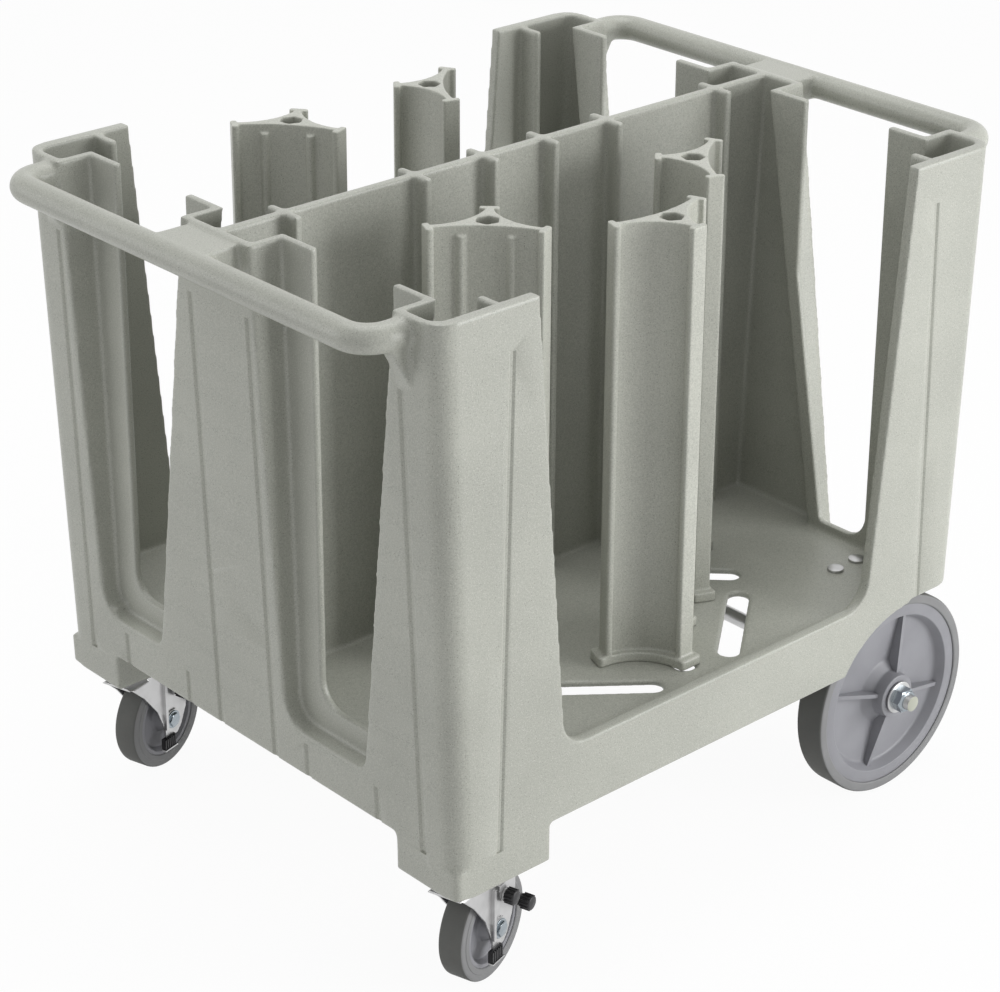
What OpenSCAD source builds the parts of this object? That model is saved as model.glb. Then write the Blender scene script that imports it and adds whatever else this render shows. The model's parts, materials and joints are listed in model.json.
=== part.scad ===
// Plate dispenser cart: a moulded body of end walls with stepped hand slots, side sills, floor,
// ribbed centre wall and end bars, five guide towers that slide on slots in the floor, two braked
// swivel casters and two large fixed wheels on one axle. Millimetres, +Z up, origin on the ground
// under the middle of the cart. +X points to the large wheels, +Y to the left of someone who
// walks that way.

/* [Body] */
// Half length of the body at the foot, out to the end wall
end_half = 390; // [384:1:396]
// Lean of the end walls, outwards going up, in degrees
end_lean = 2.06; // [1.5:0.1:2.5]
// Width over the side walls
body_w = 700; // [690:1:720]
// Height of the walls
top_z = 806; // [780:1:830]
// Height of the skirt's lower edge
skirt_z = 196.5; // [185:0.5:205]
// Height of the caster feet's lower face
foot_z = 151.3; // [150:0.1:154]
// Height of the floor that the plates stand on
floor_z = 268; // [266:1:276]
// Thickness of the floor
floor_t = 8; // [6:0.5:9]
// Thickness of the end panels
panel_t = 10; // [8:0.5:12]
// Thickness of the side walls
side_t = 14; // [10:0.5:16]
// Thickness of the centre wall
mid_t = 11; // [8:0.5:14]
// Outside radius of the four upright corners
corner_r = 25; // [18:1:32]
// Length of a caster foot
foot_len = 132; // [124:1:140]
// Width of a caster foot
foot_w = 97; // [92:1:104]

/* [Side opening] */
// Distance from the end wall's foot to the side opening at the top
post_top = 108.4; // [100:0.1:120]
// Distance from the end wall's foot to the side opening at the sill
post_low = 152; // [140:1:165]
// Height of the sill over the floor
sill_h = 12; // [8:1:16]
// Radius where a post runs into the sill
sill_r = 34; // [20:1:45]

/* [Hand slots] */
// Distance from the end wall's foot in to the face of the slot flanges
flange_back = 18; // [14:1:22]
// Thickness of the slot flanges and of the returns round them
flange_t = 9; // [6:0.5:11]
// Lower border of the stepped recess
recess_z = 250; // [242:1:256]
// Lower edge of the slot in the flange
slot_z = 280; // [278:1:290]
// Lean of the outer slot's lip, in degrees
lip_lean_outer = 10.2; // [8:0.1:11]
// Lean of the inner slot's lip, in degrees
lip_lean_inner = 7.9; // [6:0.1:9]
// Width of a corner, from the side to a recess's border at the top
corner_w = 68; // [64:1:72]
// Inner border of both recesses at the top, from the centre line
recess_in = 59; // [54:1:62]
// Distance that the upright borders draw in towards the floor
recess_draw = 12; // [6:1:16]
// Width of a flange at the top
flange_w = 48; // [40:1:54]

/* [End bars] */
// Length over both end bars
bar_over = 953; // [946:1:960]
// Diameter of an end bar
bar_d = 31; // [26:1:34]
// Drop of an end bar's centre below the top of the walls
bar_drop = 18; // [16:1:26]
// Radius of the bend at each end of a bar, at its centre
bar_bend = 30; // [24:1:36]
// Half width of the flat plate that joins a bar to the wall
tab_half = 42; // [36:1:46]

/* [Ribs and slots] */
// Distance of the centre wall's inner ribs from the middle
inner_rib_x = 45; // [38:1:52]
// Distance of the centre wall's outer ribs from the middle
outer_rib_x = 144; // [136:1:152]
// Distance of the last ribs, and those of the side walls, from the end wall's foot
post_rib_back = 68; // [60:1:76]
// Thickness of a rib
rib_t = 10; // [7:0.5:12]
// Height that a rib stands from the centre wall
rib_h = 19; // [14:1:24]
// Width of the slots in the floor
slot_w = 24.5; // [22:0.5:27]
// Length between the end centres of an outer slot
outer_slot_len = 131; // [120:1:136]
// Length between the end centres of an inner slot
inner_slot_len = 119; // [112:1:126]
// Length between the end centres of the middle slot
mid_slot_len = 95; // [90:1:100]

/* [Towers] */
// Height of a tower over the floor
tower_h = 523; // [500:1:540]
// Reach of the two long wings from the tower's centre
wing_long = 70; // [64:1:72]
// Reach of the short wing
wing_short = 43; // [38:1:46]
// Angle of a long wing from the way the tower faces
wing_angle = 69; // [66:1:72]
// Thickness of a wing
wing_t = 8; // [6:0.5:10]
// Distance from the tower's centre to its faces
core_half = 17; // [16:0.5:19]
// Across the flats of the hexagon socket
socket_af = 24; // [20:1:25]
// Height of a tower's base flange
base_h = 11.5; // [8:0.5:11.5]
// Width of the base flange round the tower
base_rim = 9; // [6:1:10]
// Diameter of the clamp stud
stud_d = 12; // [10:1:14]
// Diameter of the washer under the floor
clamp_washer_d = 50; // [44:1:54]
// Span of the wing knob
knob_span = 74; // [60:1:80]

/* [Casters] */
// Diameter of a caster wheel
caster_d = 127; // [124:1:128]
// Width of a caster wheel
caster_w = 32; // [28:1:34]
// Distance from the swivel axis to the caster's axle
caster_trail = 28; // [24:1:32]
// Turn of both casters in the photographed pose, in degrees
caster_turn = 16; // [0:1:30]
// Diameter of the kingpin
kingpin_d = 12; // [10:1:14]
// Diameter of the caster's axle bolt
caster_bolt_d = 10; // [8:1:11]
// Thickness of the fork's steel
fork_t = 3; // [2.5:0.5:3.5]

/* [Rear wheels] */
// Diameter of a rear wheel
wheel_d = 254; // [250:1:256]
// Width of a rear wheel
wheel_w = 38; // [34:1:40]
// Length of the rear axle outside the outer face of each wheel
axle_end = 33; // [30:1:36]
// Distance from the end wall's foot in to the rear axle
axle_back = 72.5; // [70:0.5:76]
// Diameter of the rear axle
axle_d = 19; // [16:1:20]
// Length of the rear axle over both ends
axle_len = 730; // [726:1:736]

/* [Hidden] */
over = 1; // every cut runs past the face that it opens by this much
play = 0.3; // between pieces that move past each other
run_fit = 0.05; // round a shaft, on the radius
bolt_fit = 0.2; // round a bolt in a fixed piece, on the radius
arc_steps = 7; // straight stretches in a rounded corner
half_w = body_w / 2;
gap_top = end_half - post_top;
gap_low = end_half - post_low;
sill_end = gap_low - sill_r;
flange_x = end_half - flange_back;
recess_out = half_w - corner_w;
bar_z = top_z - bar_drop;
post_rib_x = end_half - post_rib_back;
wheel_face = axle_len / 2 - axle_end;
axle_x = end_half - axle_back;
floor_under = floor_z - floor_t;
sill_z = floor_z + sill_h;
wall_h = top_z - foot_z;
lean_slope = tan(end_lean);
flange_in = flange_x - flange_t;
bar_x = (bar_over - bar_d) / 2;
bar_r = bar_d / 2;
bar_turn_y = recess_out + bar_r + over;
reach = body_w; // longer than anything that a cut or a trim has to pass
mid_half = mid_t / 2;

// Outer plane of the end wall at a height
function end_x(z) = end_half + lean_slope * (z - foot_z);

// Rounds each corner of a closed outline, with one radius per point, as arcs of arc_steps
function unit(v) = v / norm(v);
function arc_corner(p, q, s, r) =
    let (a = unit(p - q), b = unit(s - q), half = acos(a * b) / 2)
    let (back = r / tan(half), mid = unit(a + b), c = q + mid * r / sin(half))
    let (u = unit(q + a * back - c), w = unit(q + b * back - c), span = acos(u * w))
    [for (i = [0 : arc_steps]) c + r * (sin(span * (1 - i / arc_steps)) * u
        + sin(span * i / arc_steps) * w) / sin(span)];
function rounded(pts, radii) = [for (i = [0 : len(pts) - 1])
    each (radii[i] == 0 ? [pts[i]] : arc_corner(pts[(i + len(pts) - 1) % len(pts)], pts[i],
        pts[(i + 1) % len(pts)], radii[i]))];

// Outline of a straight slot with round ends, lying along X round the origin
function slot_outline(len_mid, r) = concat(
    [for (i = [0 : 2 * arc_steps]) [len_mid / 2, 0]
        + r * [cos(90 - 90 * i / arc_steps), sin(90 - 90 * i / arc_steps)]],
    [for (i = [0 : 2 * arc_steps]) [-len_mid / 2, 0]
        + r * [cos(270 - 90 * i / arc_steps), sin(270 - 90 * i / arc_steps)]]);

// An outline drawn in Y and Z, extruded along X from x0 to x1
module along_x(x0, x1) {
    translate([x0, 0, 0]) rotate([90, 0, 90]) linear_extrude(x1 - x0) children();
}

// An outline drawn in X and Z, extruded along Y from y0 to y1
module along_y(y0, y1) {
    translate([0, y1, 0]) rotate([90, 0, 0]) linear_extrude(y1 - y0) children();
}

// Both long sides of the cart
module both_sides() {
    children();
    mirror([0, 1, 0]) children();
}

// The +X half of the body's outer form, leaning with the end wall, drawn in by inset
module lean_form(inset) {
    edge = half_w - inset;
    translate([end_half, 0, foot_z]) rotate([0, end_lean, 0])
        translate([0, 0, -corner_r]) linear_extrude(wall_h + 2 * corner_r)
            polygon(rounded([[-inset, -edge], [-inset, edge], [-reach, edge], [-reach, -edge]],
                [corner_r - inset / 2, corner_r - inset / 2, 0, 0]));
}

// The room inside the end panel and the side walls
module lean_room() {
    inner = half_w - side_t;
    translate([end_half, 0, foot_z]) rotate([0, end_lean, 0])
        translate([0, 0, -2 * corner_r]) linear_extrude(wall_h + 4 * corner_r)
            polygon(rounded([[-panel_t, -inner], [-panel_t, inner],
                [-reach - over, inner], [-reach - over, -inner]],
                [corner_r - panel_t, corner_r - panel_t, 0, 0]));
}

// Keeps what lies between two heights in the +X half
module trim(z0, z1) {
    intersection() {
        children();
        translate([0, -reach, z0]) cube([reach, 2 * reach, z1 - z0]);
    }
}

// Lip of a recess on the wall's outer plane: how far it has leaned at a height
function lean_in(angle, z) = tan(angle) * (top_z - z);

// Recess with its lip towards +Y, on the -Y half of the +X end
function recess_a(grow) = rounded([
    [-recess_out - grow, top_z + reach / 2], [-recess_out - grow, top_z],
    [-recess_out + recess_draw - grow, recess_z - grow],
    [-recess_in - lean_in(lip_lean_outer, recess_z) + grow, recess_z - grow],
    [-recess_in + grow, top_z], [-recess_in + grow, top_z + reach / 2]],
    [0, 0, sill_r + grow, sill_r / 2 + grow, 0, 0]);

// Recess with its lip towards +Y, on the +Y half of the +X end
function recess_b(grow) = rounded([
    [recess_in - grow, top_z + reach / 2], [recess_in - grow, top_z],
    [recess_in + recess_draw - grow, recess_z - grow],
    [recess_out - lean_in(lip_lean_inner, recess_z) + grow, recess_z - grow],
    [recess_out + grow, top_z], [recess_out + grow, top_z + reach / 2]],
    [0, 0, sill_r + grow, sill_r / 2 + grow, 0, 0]);

// Slot through the flange of each recess: one upright edge, one that follows the lip
function slot_edge_z(angle) = top_z - (flange_w - flange_t) / tan(angle);
function slot_a() = rounded([
    [-recess_out + flange_w, top_z + reach / 2], [-recess_out + flange_w, slot_z],
    [-recess_in - lean_in(lip_lean_outer, slot_z) - flange_t, slot_z],
    [-recess_in - flange_w, slot_edge_z(lip_lean_outer)],
    [-recess_in - flange_w, top_z + reach / 2]],
    [0, sill_r - flange_t / 2, flange_t, 0, 0]);
function slot_b() = rounded([
    [recess_in + flange_w, top_z + reach / 2], [recess_in + flange_w, slot_z],
    [recess_out - lean_in(lip_lean_inner, slot_z) - flange_t, slot_z],
    [recess_out - flange_w, slot_edge_z(lip_lean_inner)],
    [recess_out - flange_w, top_z + reach / 2]],
    [0, sill_r - flange_t / 2, flange_t, 0, 0]);

// One recess: its return walls and its slotted flange
module stepped_recess(inner, outer, slot) {
    trim(recess_z - flange_t - over, top_z) {
        union() {
            intersection() {
                along_x(flange_in, reach) difference() {
                    polygon(outer);
                    polygon(inner);
                }
                lean_form(panel_t / 2);
            }
            along_x(flange_in, flange_x) difference() {
                polygon(outer);
                polygon(slot);
            }
        }
    }
}

// Upright groove in the end panel, at y0 low down and y1 high up, between two heights
groove_w = 3;
groove_deep = 2;
module end_groove(y0, z0, y1, z1) {
    translate([end_half, 0, foot_z]) rotate([0, end_lean, 0])
        translate([-groove_deep, 0, -foot_z]) along_x(0, panel_t)
            polygon([[y0 - groove_w / 2, z0], [y0 + groove_w / 2, z0],
                [y1 + groove_w / 2, z1], [y1 - groove_w / 2, z1]]);
}
groove_side = 10;
groove_drop = 82;
side_groove_drop = 49;
groove_rise_share = 0.8;
short_groove_share = [0.38, 0.8];
groove_low = skirt_z - over;
groove_short = skirt_z + groove_rise_share * (recess_z - skirt_z);
pillar_groove_y = recess_in - groove_side;
pillar_groove_top = top_z - groove_drop;
corner_groove_y = recess_out + groove_side;

// One end of the body, as seen at +X
module end_half_shell() {
    difference() {
        union() {
            difference() {
                trim(foot_z, top_z) difference() {
                    lean_form(0);
                    lean_room();
                }
                along_x(flange_in, reach) polygon(recess_a(0));
                along_x(flange_in, reach) polygon(recess_b(0));
                along_y(-reach, reach) polygon(rounded([
                    [-over, top_z + over], [-over, sill_z], [gap_low, sill_z],
                    [gap_top, top_z + over]], [0, 0, sill_r, 0]));
            }
            stepped_recess(recess_a(0), recess_a(flange_t), slot_a());
            stepped_recess(recess_b(0), recess_b(flange_t), slot_b());
        }
        for (y = [-pillar_groove_y, pillar_groove_y])
            end_groove(y, groove_low, y, pillar_groove_top);
        for (s = [-1, 1])
            end_groove(s * (corner_groove_y + recess_draw / 2), groove_low,
                s * corner_groove_y, pillar_groove_top);
        for (share = short_groove_share) {
            end_groove(-recess_out * share, groove_low, -recess_out * share, groove_short);
            end_groove(recess_out * share, groove_low, recess_out * share, groove_short);
        }
        both_sides()
            translate([post_rib_x - groove_w / 2, half_w - groove_deep, groove_low])
                cube([groove_w, groove_deep + over, top_z - side_groove_drop - groove_low]);
    }
}

// One end bar with its bends, its arms to the corners and the plate at its middle, run into the wall
arm_x = end_x(bar_z) - panel_t / 2;
bar_corner_x = bar_x - bar_bend;
bar_corner_y = bar_turn_y - bar_bend;
gusset_drop = 61;
gusset_w = 20;
module end_bar() {
    translate([bar_x, -bar_corner_y, bar_z]) rotate([-90, 0, 0])
        cylinder(r = bar_r, h = 2 * bar_corner_y, $fn = 48);
    both_sides() {
        translate([bar_corner_x, bar_corner_y, bar_z]) rotate_extrude(angle = 90, $fn = 48)
            translate([bar_bend, 0]) circle(r = bar_r, $fn = 48);
        translate([arm_x, bar_turn_y, bar_z]) rotate([0, 90, 0])
            cylinder(r = bar_r, h = bar_corner_x - arm_x, $fn = 48);
        along_y(bar_turn_y - gusset_w / 2, bar_turn_y + gusset_w / 2)
            polygon([[end_x(bar_z - gusset_drop) - over, bar_z - gusset_drop],
                [arm_x + bar_bend, bar_z - bar_r / 2], [arm_x, bar_z - bar_r / 2]]);
    }
    translate([arm_x, -tab_half, bar_z - bar_r + over])
        cube([bar_x - arm_x, 2 * tab_half, bar_d - over - over / 2]);
}
module end_bars() {
    color([0.70, 0.71, 0.67]) for (turn = [0, 180]) rotate([0, 0, turn]) difference() {
        end_bar();
        lean_form(0);
    }
}

// Centre wall with its cross ribs, from one end panel to the other
function panel_in(z) = end_x(z) - panel_t / cos(end_lean);
module centre_wall() {
    color([0.70, 0.71, 0.67]) {
        along_y(-mid_half, mid_half) polygon([
            [-panel_in(floor_z), floor_z], [panel_in(floor_z), floor_z],
            [panel_in(top_z), top_z], [-panel_in(top_z), top_z]]);
        for (x = [inner_rib_x, outer_rib_x, post_rib_x], s = [-1, 1])
            translate([s * x - rib_t / 2, -mid_half - rib_h, floor_z])
                cube([rib_t, mid_t + 2 * rib_h, top_z - floor_z]);
    }
}

// Ribs inside the side walls, in line with the last ribs of the centre wall
stub_reach = 31;
stub_drop = 3;
module side_ribs() {
    both_sides() translate([post_rib_x - rib_t / 2, half_w - side_t - stub_reach + over, floor_z])
        cube([rib_t, stub_reach + over, top_z - stub_drop - floor_z]);
}

// Caster foot with the shallow pocket that takes the caster's plate
foot_rim = 8;
foot_pocket = 6.7;
foot_x = end_half - foot_len;
foot_y = half_w - foot_w;
module caster_foot() {
    difference() {
        intersection() {
            trim(foot_z, floor_under) lean_form(panel_t / 2);
            translate([foot_x, foot_y, 0]) cube([reach, reach, reach]);
        }
        translate([foot_x + foot_rim, foot_y + foot_rim, foot_z - over])
            cube([foot_len - panel_t - foot_rim, foot_w - side_t - foot_rim, foot_pocket + over]);
    }
}

// Inner wall of a wheel well and the cut that opens the well over the wheel
well_gap = 7;
arch_gap = 2;
arch_side_share = 0.5;
well_y = wheel_face - wheel_w - well_gap;
well_wall_x = 150;
arch_r = wheel_d / 2 + arch_gap;
module well_wall() {
    intersection() {
        trim(skirt_z, floor_under) lean_form(panel_t / 2);
        translate([well_wall_x, well_y - panel_t, 0]) cube([reach, panel_t, reach]);
    }
}
module well_cut() {
    along_y(well_y, reach) {
        translate([axle_x, wheel_d / 2]) circle(r = arch_r, $fn = 96);
        translate([axle_x, 0]) square([reach, floor_under]);
        translate([axle_x - arch_side_share * arch_r, 0])
            square([reach, wheel_d / 2 + arch_r * sqrt(1 - arch_side_share * arch_side_share)]);
    }
}

// One end of the body from the sills out, above or below the underside of the floor
module end_part(z0, z1) {
    intersection() {
        end_half_shell();
        translate([sill_end, -reach, z0]) cube([reach, 2 * reach, z1 - z0]);
    }
}
module end_wall(turn) {
    color([0.70, 0.71, 0.67]) rotate([0, 0, turn]) {
        end_part(floor_under, reach * 2);
        side_ribs();
    }
}

// Skirts of both ends, with the casters' feet and the inner walls of the wheel wells
module skirt_ends() {
    color([0.70, 0.71, 0.67]) {
        rotate([0, 0, 180]) difference() {
            union() {
                end_part(foot_z, floor_under);
                both_sides() caster_foot();
            }
            translate([0, -reach, 0]) cube([foot_x, 2 * reach, skirt_z]);
            translate([0, -foot_y, 0]) cube([reach, 2 * foot_y, skirt_z]);
            both_sides() for (p = plate_holes)
                translate([kingpin_x + p[0], kingpin_y + p[1], foot_z])
                    cylinder(r = plate_bolt_d / 2 + bolt_fit, h = plate_bolt_len, $fn = 24);
        }
        difference() {
            union() {
                end_part(skirt_z, floor_under);
                both_sides() well_wall();
            }
            both_sides() well_cut();
        }
    }
}

// Sills and skirts of both sides, from post to post
module side_sills() {
    color([0.70, 0.71, 0.67]) both_sides()
        translate([-sill_end, half_w - side_t, skirt_z]) cube([2 * sill_end, side_t, sill_z - skirt_z]);
}

// Slots in the floor: place of the middle, direction
outer_slot_angle = 38.8;
outer_slot_mid = [111.5, 260];
inner_slot_angle = 45;
inner_slot_mid = [154, 130];
mid_slot_y = -243;
module floor_slots() {
    for (sx = [-1, 1], sy = [-1, 1])
        scale([sx, sy, 1]) translate([outer_slot_mid[0], outer_slot_mid[1], floor_under - over])
            rotate([0, 0, -outer_slot_angle]) linear_extrude(floor_t + 2 * over)
                polygon(slot_outline(outer_slot_len, slot_w / 2));
    for (s = [-1, 1])
        translate([s * inner_slot_mid[0], -inner_slot_mid[1], floor_under - over])
            rotate([0, 0, -s * inner_slot_angle]) linear_extrude(floor_t + 2 * over)
                polygon(slot_outline(inner_slot_len, slot_w / 2));
    translate([0, mid_slot_y, floor_under - over]) rotate([0, 0, 90])
        linear_extrude(floor_t + 2 * over) polygon(slot_outline(mid_slot_len, slot_w / 2));
}

// Floor with its slots, inside the walls and clear of the recesses
module half_floor() {
    difference() {
        trim(floor_under, floor_z) lean_room();
        along_x(flange_in, reach) polygon(recess_a(flange_t));
        along_x(flange_in, reach) polygon(recess_b(flange_t));
    }
}
module floor_pan() {
    color([0.70, 0.71, 0.67]) difference() {
        for (turn = [0, 180]) rotate([0, 0, turn]) half_floor();
        floor_slots();
        both_sides() for (p = bracket_holes)
            translate([p[0], p[1], floor_under - over])
                cylinder(r = bracket_bolt_d / 2 + bolt_fit, h = floor_t + 2 * over, $fn = 24);
    }
}

// Towers: place of each and the way it faces
outer_at = 57;
mid_tower_back = 7;
outer_dir = [cos(outer_slot_angle), -sin(outer_slot_angle)];
outer_place = outer_slot_mid + (outer_at - outer_slot_len / 2) * outer_dir;
tower_place = [[-outer_place[0], outer_place[1]], outer_place, [-inner_slot_mid[0], -inner_slot_mid[1]],
    [inner_slot_mid[0], -inner_slot_mid[1]], [0, mid_slot_y - mid_tower_back]];
tower_face = [180 + outer_slot_angle, -outer_slot_angle, 180 + inner_slot_angle, -inner_slot_angle, 90];
tower_z = floor_z + play;
tab_t = 8;
tab_w = 22;
wings = [[wing_long, -wing_angle], [wing_long, wing_angle], [wing_short, 180]];

// Hollow face from one wing corner to the next, an arc that comes within near of the centre
hollow_steps = 12;
function hollow(p, q, near) =
    let (chord = q - p, n = unit([chord[1], -chord[0]]), far = p * n, sag = far - near)
    let (r = (chord * chord / 4 + sag * sag) / (2 * sag), c = n * (near + r) + (p + q) / 2 - n * far)
    let (half = asin(norm(chord) / 2 / r), t = unit(chord))
    [for (i = [0 : hollow_steps]) let (w = half * (2 * i / hollow_steps - 1))
        c + r * (sin(w) * t - cos(w) * n)];

// Point on a wing, at a distance from the tower's centre and off to the wing's left
function wing_point(w, out, off) = [out * cos(w[1]) - off * sin(w[1]), out * sin(w[1]) + off * cos(w[1])];

// Hollow face between the left side of one wing and the right side of the next
function wing_gap(k, grow, thick, near) = let (a = wings[k], b = wings[(k + 1) % len(wings)])
    hollow(wing_point(a, a[0] + grow, thick / 2), wing_point(b, b[0] + grow, -thick / 2), near);

// Corners of the cross bar at the end of a wing
function wing_tab(w) = rounded([for (c = [[tab_t, -1], [0, -1], [0, 1], [tab_t, 1]])
    wing_point(w, w[0] - c[0], c[1] * tab_w / 2)], [tab_t / 3, tab_t / 3, tab_t / 3, tab_t / 3]);

// Outline of a tower: three wings with cross bars, the broad hollow face in front
function tower_outline() = [for (k = [0 : len(wings) - 1])
    each concat(wing_gap(k, -tab_t, wing_t, core_half), wing_tab(wings[(k + 1) % len(wings)]))];

// Outline of a tower's base flange, with its tips rounded
function base_outline() = rounded(
    [for (k = [0 : len(wings) - 1]) each wing_gap(k, base_rim, tab_w + base_rim, core_half + base_rim)],
    [for (k = [0 : len(wings) - 1], i = [0 : hollow_steps]) i % hollow_steps == 0 ? base_rim / 2 : 0]);

rib_r = 5;
rib_side = 27;
rib_seat = 2;
rib_short = 11;
socket_floor = 20;
module tower(i) {
    color([0.66, 0.67, 0.63]) translate([tower_place[i][0], tower_place[i][1], tower_z])
        rotate([0, 0, tower_face[i]]) difference() {
            union() {
                linear_extrude(tower_h) polygon(tower_outline());
                linear_extrude(base_h) polygon(base_outline());
                if (i == 0 || i == 2) for (s = [-1, 1])
                    translate([core_half + rib_seat, s * rib_side, 0])
                        cylinder(r = rib_r, h = tower_h - rib_short, $fn = 24);
            }
            translate([0, 0, socket_floor])
                cylinder(r = socket_af / 2 / cos(30), h = tower_h, $fn = 6);
            translate([0, 0, -over])
                cylinder(r = stud_d / 2 + bolt_fit, h = socket_floor + 2 * over, $fn = 32);
        }
}

// Hexagon-headed clamp stud, its washer and its wing knob under the floor
stud_head_h = 8;
stud_head_af = 19;
washer_t = 3;
knob_h = 22;
knob_hub_d = 36;
wing_h = 14;
knob_wing_t = 8;
stud_below = 5;
stud_end = knob_h + stud_below;
washer_top = floor_under - play;
knob_top = washer_top - washer_t - play;
module at_tower(i) {
    translate([tower_place[i][0], tower_place[i][1], 0]) rotate([0, 0, tower_face[i]]) children();
}
module stud(i) {
    color([0.75, 0.76, 0.78]) at_tower(i) {
        translate([0, 0, tower_z + socket_floor])
            cylinder(r = stud_head_af / 2 / cos(30), h = stud_head_h, $fn = 6);
        translate([0, 0, knob_top - stud_end])
            cylinder(r = stud_d / 2, h = tower_z + socket_floor + over - knob_top + stud_end, $fn = 32);
    }
}
module clamp_washer(i) {
    color([0.72, 0.73, 0.75]) at_tower(i) translate([0, 0, washer_top - washer_t]) difference() {
        cylinder(r = clamp_washer_d / 2, h = washer_t, $fn = 48);
        translate([0, 0, -over]) cylinder(r = stud_d / 2 + bolt_fit, h = washer_t + 2 * over, $fn = 32);
    }
}
module wing_knob(i) {
    color([0.10, 0.10, 0.11]) at_tower(i) translate([0, 0, knob_top - knob_h]) difference() {
        union() {
            cylinder(r = knob_hub_d / 2, h = knob_h, $fn = 32);
            linear_extrude(wing_h) polygon(slot_outline(knob_span - knob_wing_t, knob_wing_t / 2));
        }
        translate([0, 0, -over]) cylinder(r = stud_d / 2 + run_fit, h = knob_h + 2 * over, $fn = 32);
    }
}

// Casters: the swivel axis stands in the middle of the foot
kingpin_shift = 6;
kingpin_x = end_half - foot_len / 2 + kingpin_shift;
kingpin_y = half_w - side_t / 2 - (foot_w - side_t + foot_rim) / 2;
plate_len = 95;
plate_w = 67;
plate_t = 3;
plate_top = foot_z + foot_pocket;
plate_bolt_d = 7.9;
plate_bolt_len = 34;
plate_bolt_head = 5;
plate_hole_x = 38;
plate_hole_y = 25;
plate_holes = [for (x = [-plate_hole_x, plate_hole_x], y = [-plate_hole_y, plate_hole_y]) [x, y]];
hex_share = 0.9; // corner radius of a hexagon head over the diameter of its bolt
race_r = 27;
race_low_share = 0.8;
race_h = 9;
crown_gap = 8;
fork_gap = 3.5;
crown_z = caster_d + crown_gap;
crown_top = crown_z + fork_t;
fork_half = caster_w / 2 + fork_gap;
kingpin_nut_h = 5;
kingpin_nut_r = 10;
cup_r = 22;
module at_caster(side) {
    translate([-kingpin_x, side * kingpin_y, 0]) rotate([0, 0, caster_turn]) children();
}
module caster_plate(side) {
    color([0.76, 0.77, 0.79]) translate([-kingpin_x, side * kingpin_y, plate_top - plate_t]) difference() {
        linear_extrude(plate_t) polygon(rounded([[-plate_len / 2, -plate_w / 2],
            [plate_len / 2, -plate_w / 2], [plate_len / 2, plate_w / 2], [-plate_len / 2, plate_w / 2]],
            [rib_r, rib_r, rib_r, rib_r]));
        for (p = plate_holes) translate([p[0], p[1], -over])
            cylinder(r = plate_bolt_d / 2 + bolt_fit, h = plate_t + 2 * over, $fn = 24);
        translate([0, 0, -over]) cylinder(r = kingpin_d / 2 + bolt_fit, h = plate_t + 2 * over, $fn = 32);
    }
}
module plate_bolts() {
    color([0.70, 0.71, 0.73]) for (side = [-1, 1], p = plate_holes)
        translate([-kingpin_x + p[0], side * kingpin_y + p[1], plate_top - plate_t]) {
            translate([0, 0, -plate_bolt_head])
                cylinder(r = plate_bolt_d * hex_share, h = plate_bolt_head, $fn = 6);
            cylinder(r = plate_bolt_d / 2, h = plate_bolt_len - foot_pocket, $fn = 24);
        }
}
module swivel_race(side) {
    color([0.74, 0.75, 0.77]) translate([-kingpin_x, side * kingpin_y, plate_top - plate_t - race_h])
        difference() {
            cylinder(r1 = race_r * race_low_share, r2 = race_r, h = race_h, $fn = 48);
            translate([0, 0, -over])
                cylinder(r = kingpin_d / 2 + bolt_fit, h = race_h + 2 * over, $fn = 32);
        }
}
module kingpin(side) {
    color([0.74, 0.75, 0.77]) translate([-kingpin_x, side * kingpin_y, 0]) {
        translate([0, 0, crown_z - play - kingpin_nut_h])
            cylinder(r = kingpin_nut_r, h = kingpin_nut_h, $fn = 6);
        translate([0, 0, crown_z - play - over])
            cylinder(r = kingpin_d / 2, h = plate_top - crown_z + play + over, $fn = 32);
    }
}

// Fork: crown, raised cup under the race, two legs swept back to the axle
leg_bow_share = [-0.74, -0.34, 0.04, 0.2, 0.27];
leg_bow_z_share = [1, 0.83, 0.61, 0.44, 0.34];
leg_front_share = [0.74, 0.9, 1, 1];
leg_front_z_share = [0.35, 0.5, 0.71, 1];
leg_low_share = 0.29;
leg_reach = 62;
module fork_leg_outline() {
    polygon(concat(
        [for (i = [0 : len(leg_bow_share) - 1]) [leg_bow_share[i] * leg_reach, leg_bow_z_share[i] * crown_top]],
        [for (s = [-1, 1]) [caster_trail + s * caster_bolt_d, leg_low_share * crown_top]],
        [for (i = [0 : len(leg_front_share) - 1]) [leg_front_share[i] * leg_reach,
            leg_front_z_share[i] * crown_top]]));
}
module caster_fork(side) {
    color([0.76, 0.77, 0.80]) at_caster(side) difference() {
        union() {
            for (s = [-1, 1]) scale([1, s, 1]) along_y(fork_half, fork_half + fork_t)
                fork_leg_outline();
            translate([leg_bow_share[0] * leg_reach, -fork_half - fork_t, crown_z])
                cube([(1 - leg_bow_share[0]) * leg_reach, 2 * (fork_half + fork_t), fork_t]);
            translate([0, 0, crown_z])
                cylinder(r = cup_r, h = plate_top - plate_t - race_h - play - crown_z, $fn = 48);
        }
        translate([0, 0, crown_z - over])
            cylinder(r = kingpin_d / 2 + run_fit, h = reach, $fn = 32);
        translate([caster_trail, -reach, caster_d / 2]) rotate([-90, 0, 0])
            cylinder(r = caster_bolt_d / 2 + bolt_fit, h = 2 * reach, $fn = 32);
        translate([brake_x, -reach, brake_z]) rotate([-90, 0, 0])
            cylinder(r = brake_pin_d / 2 + run_fit, h = reach, $fn = 24);
    }
}
bolt_head_h = 6;
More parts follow.
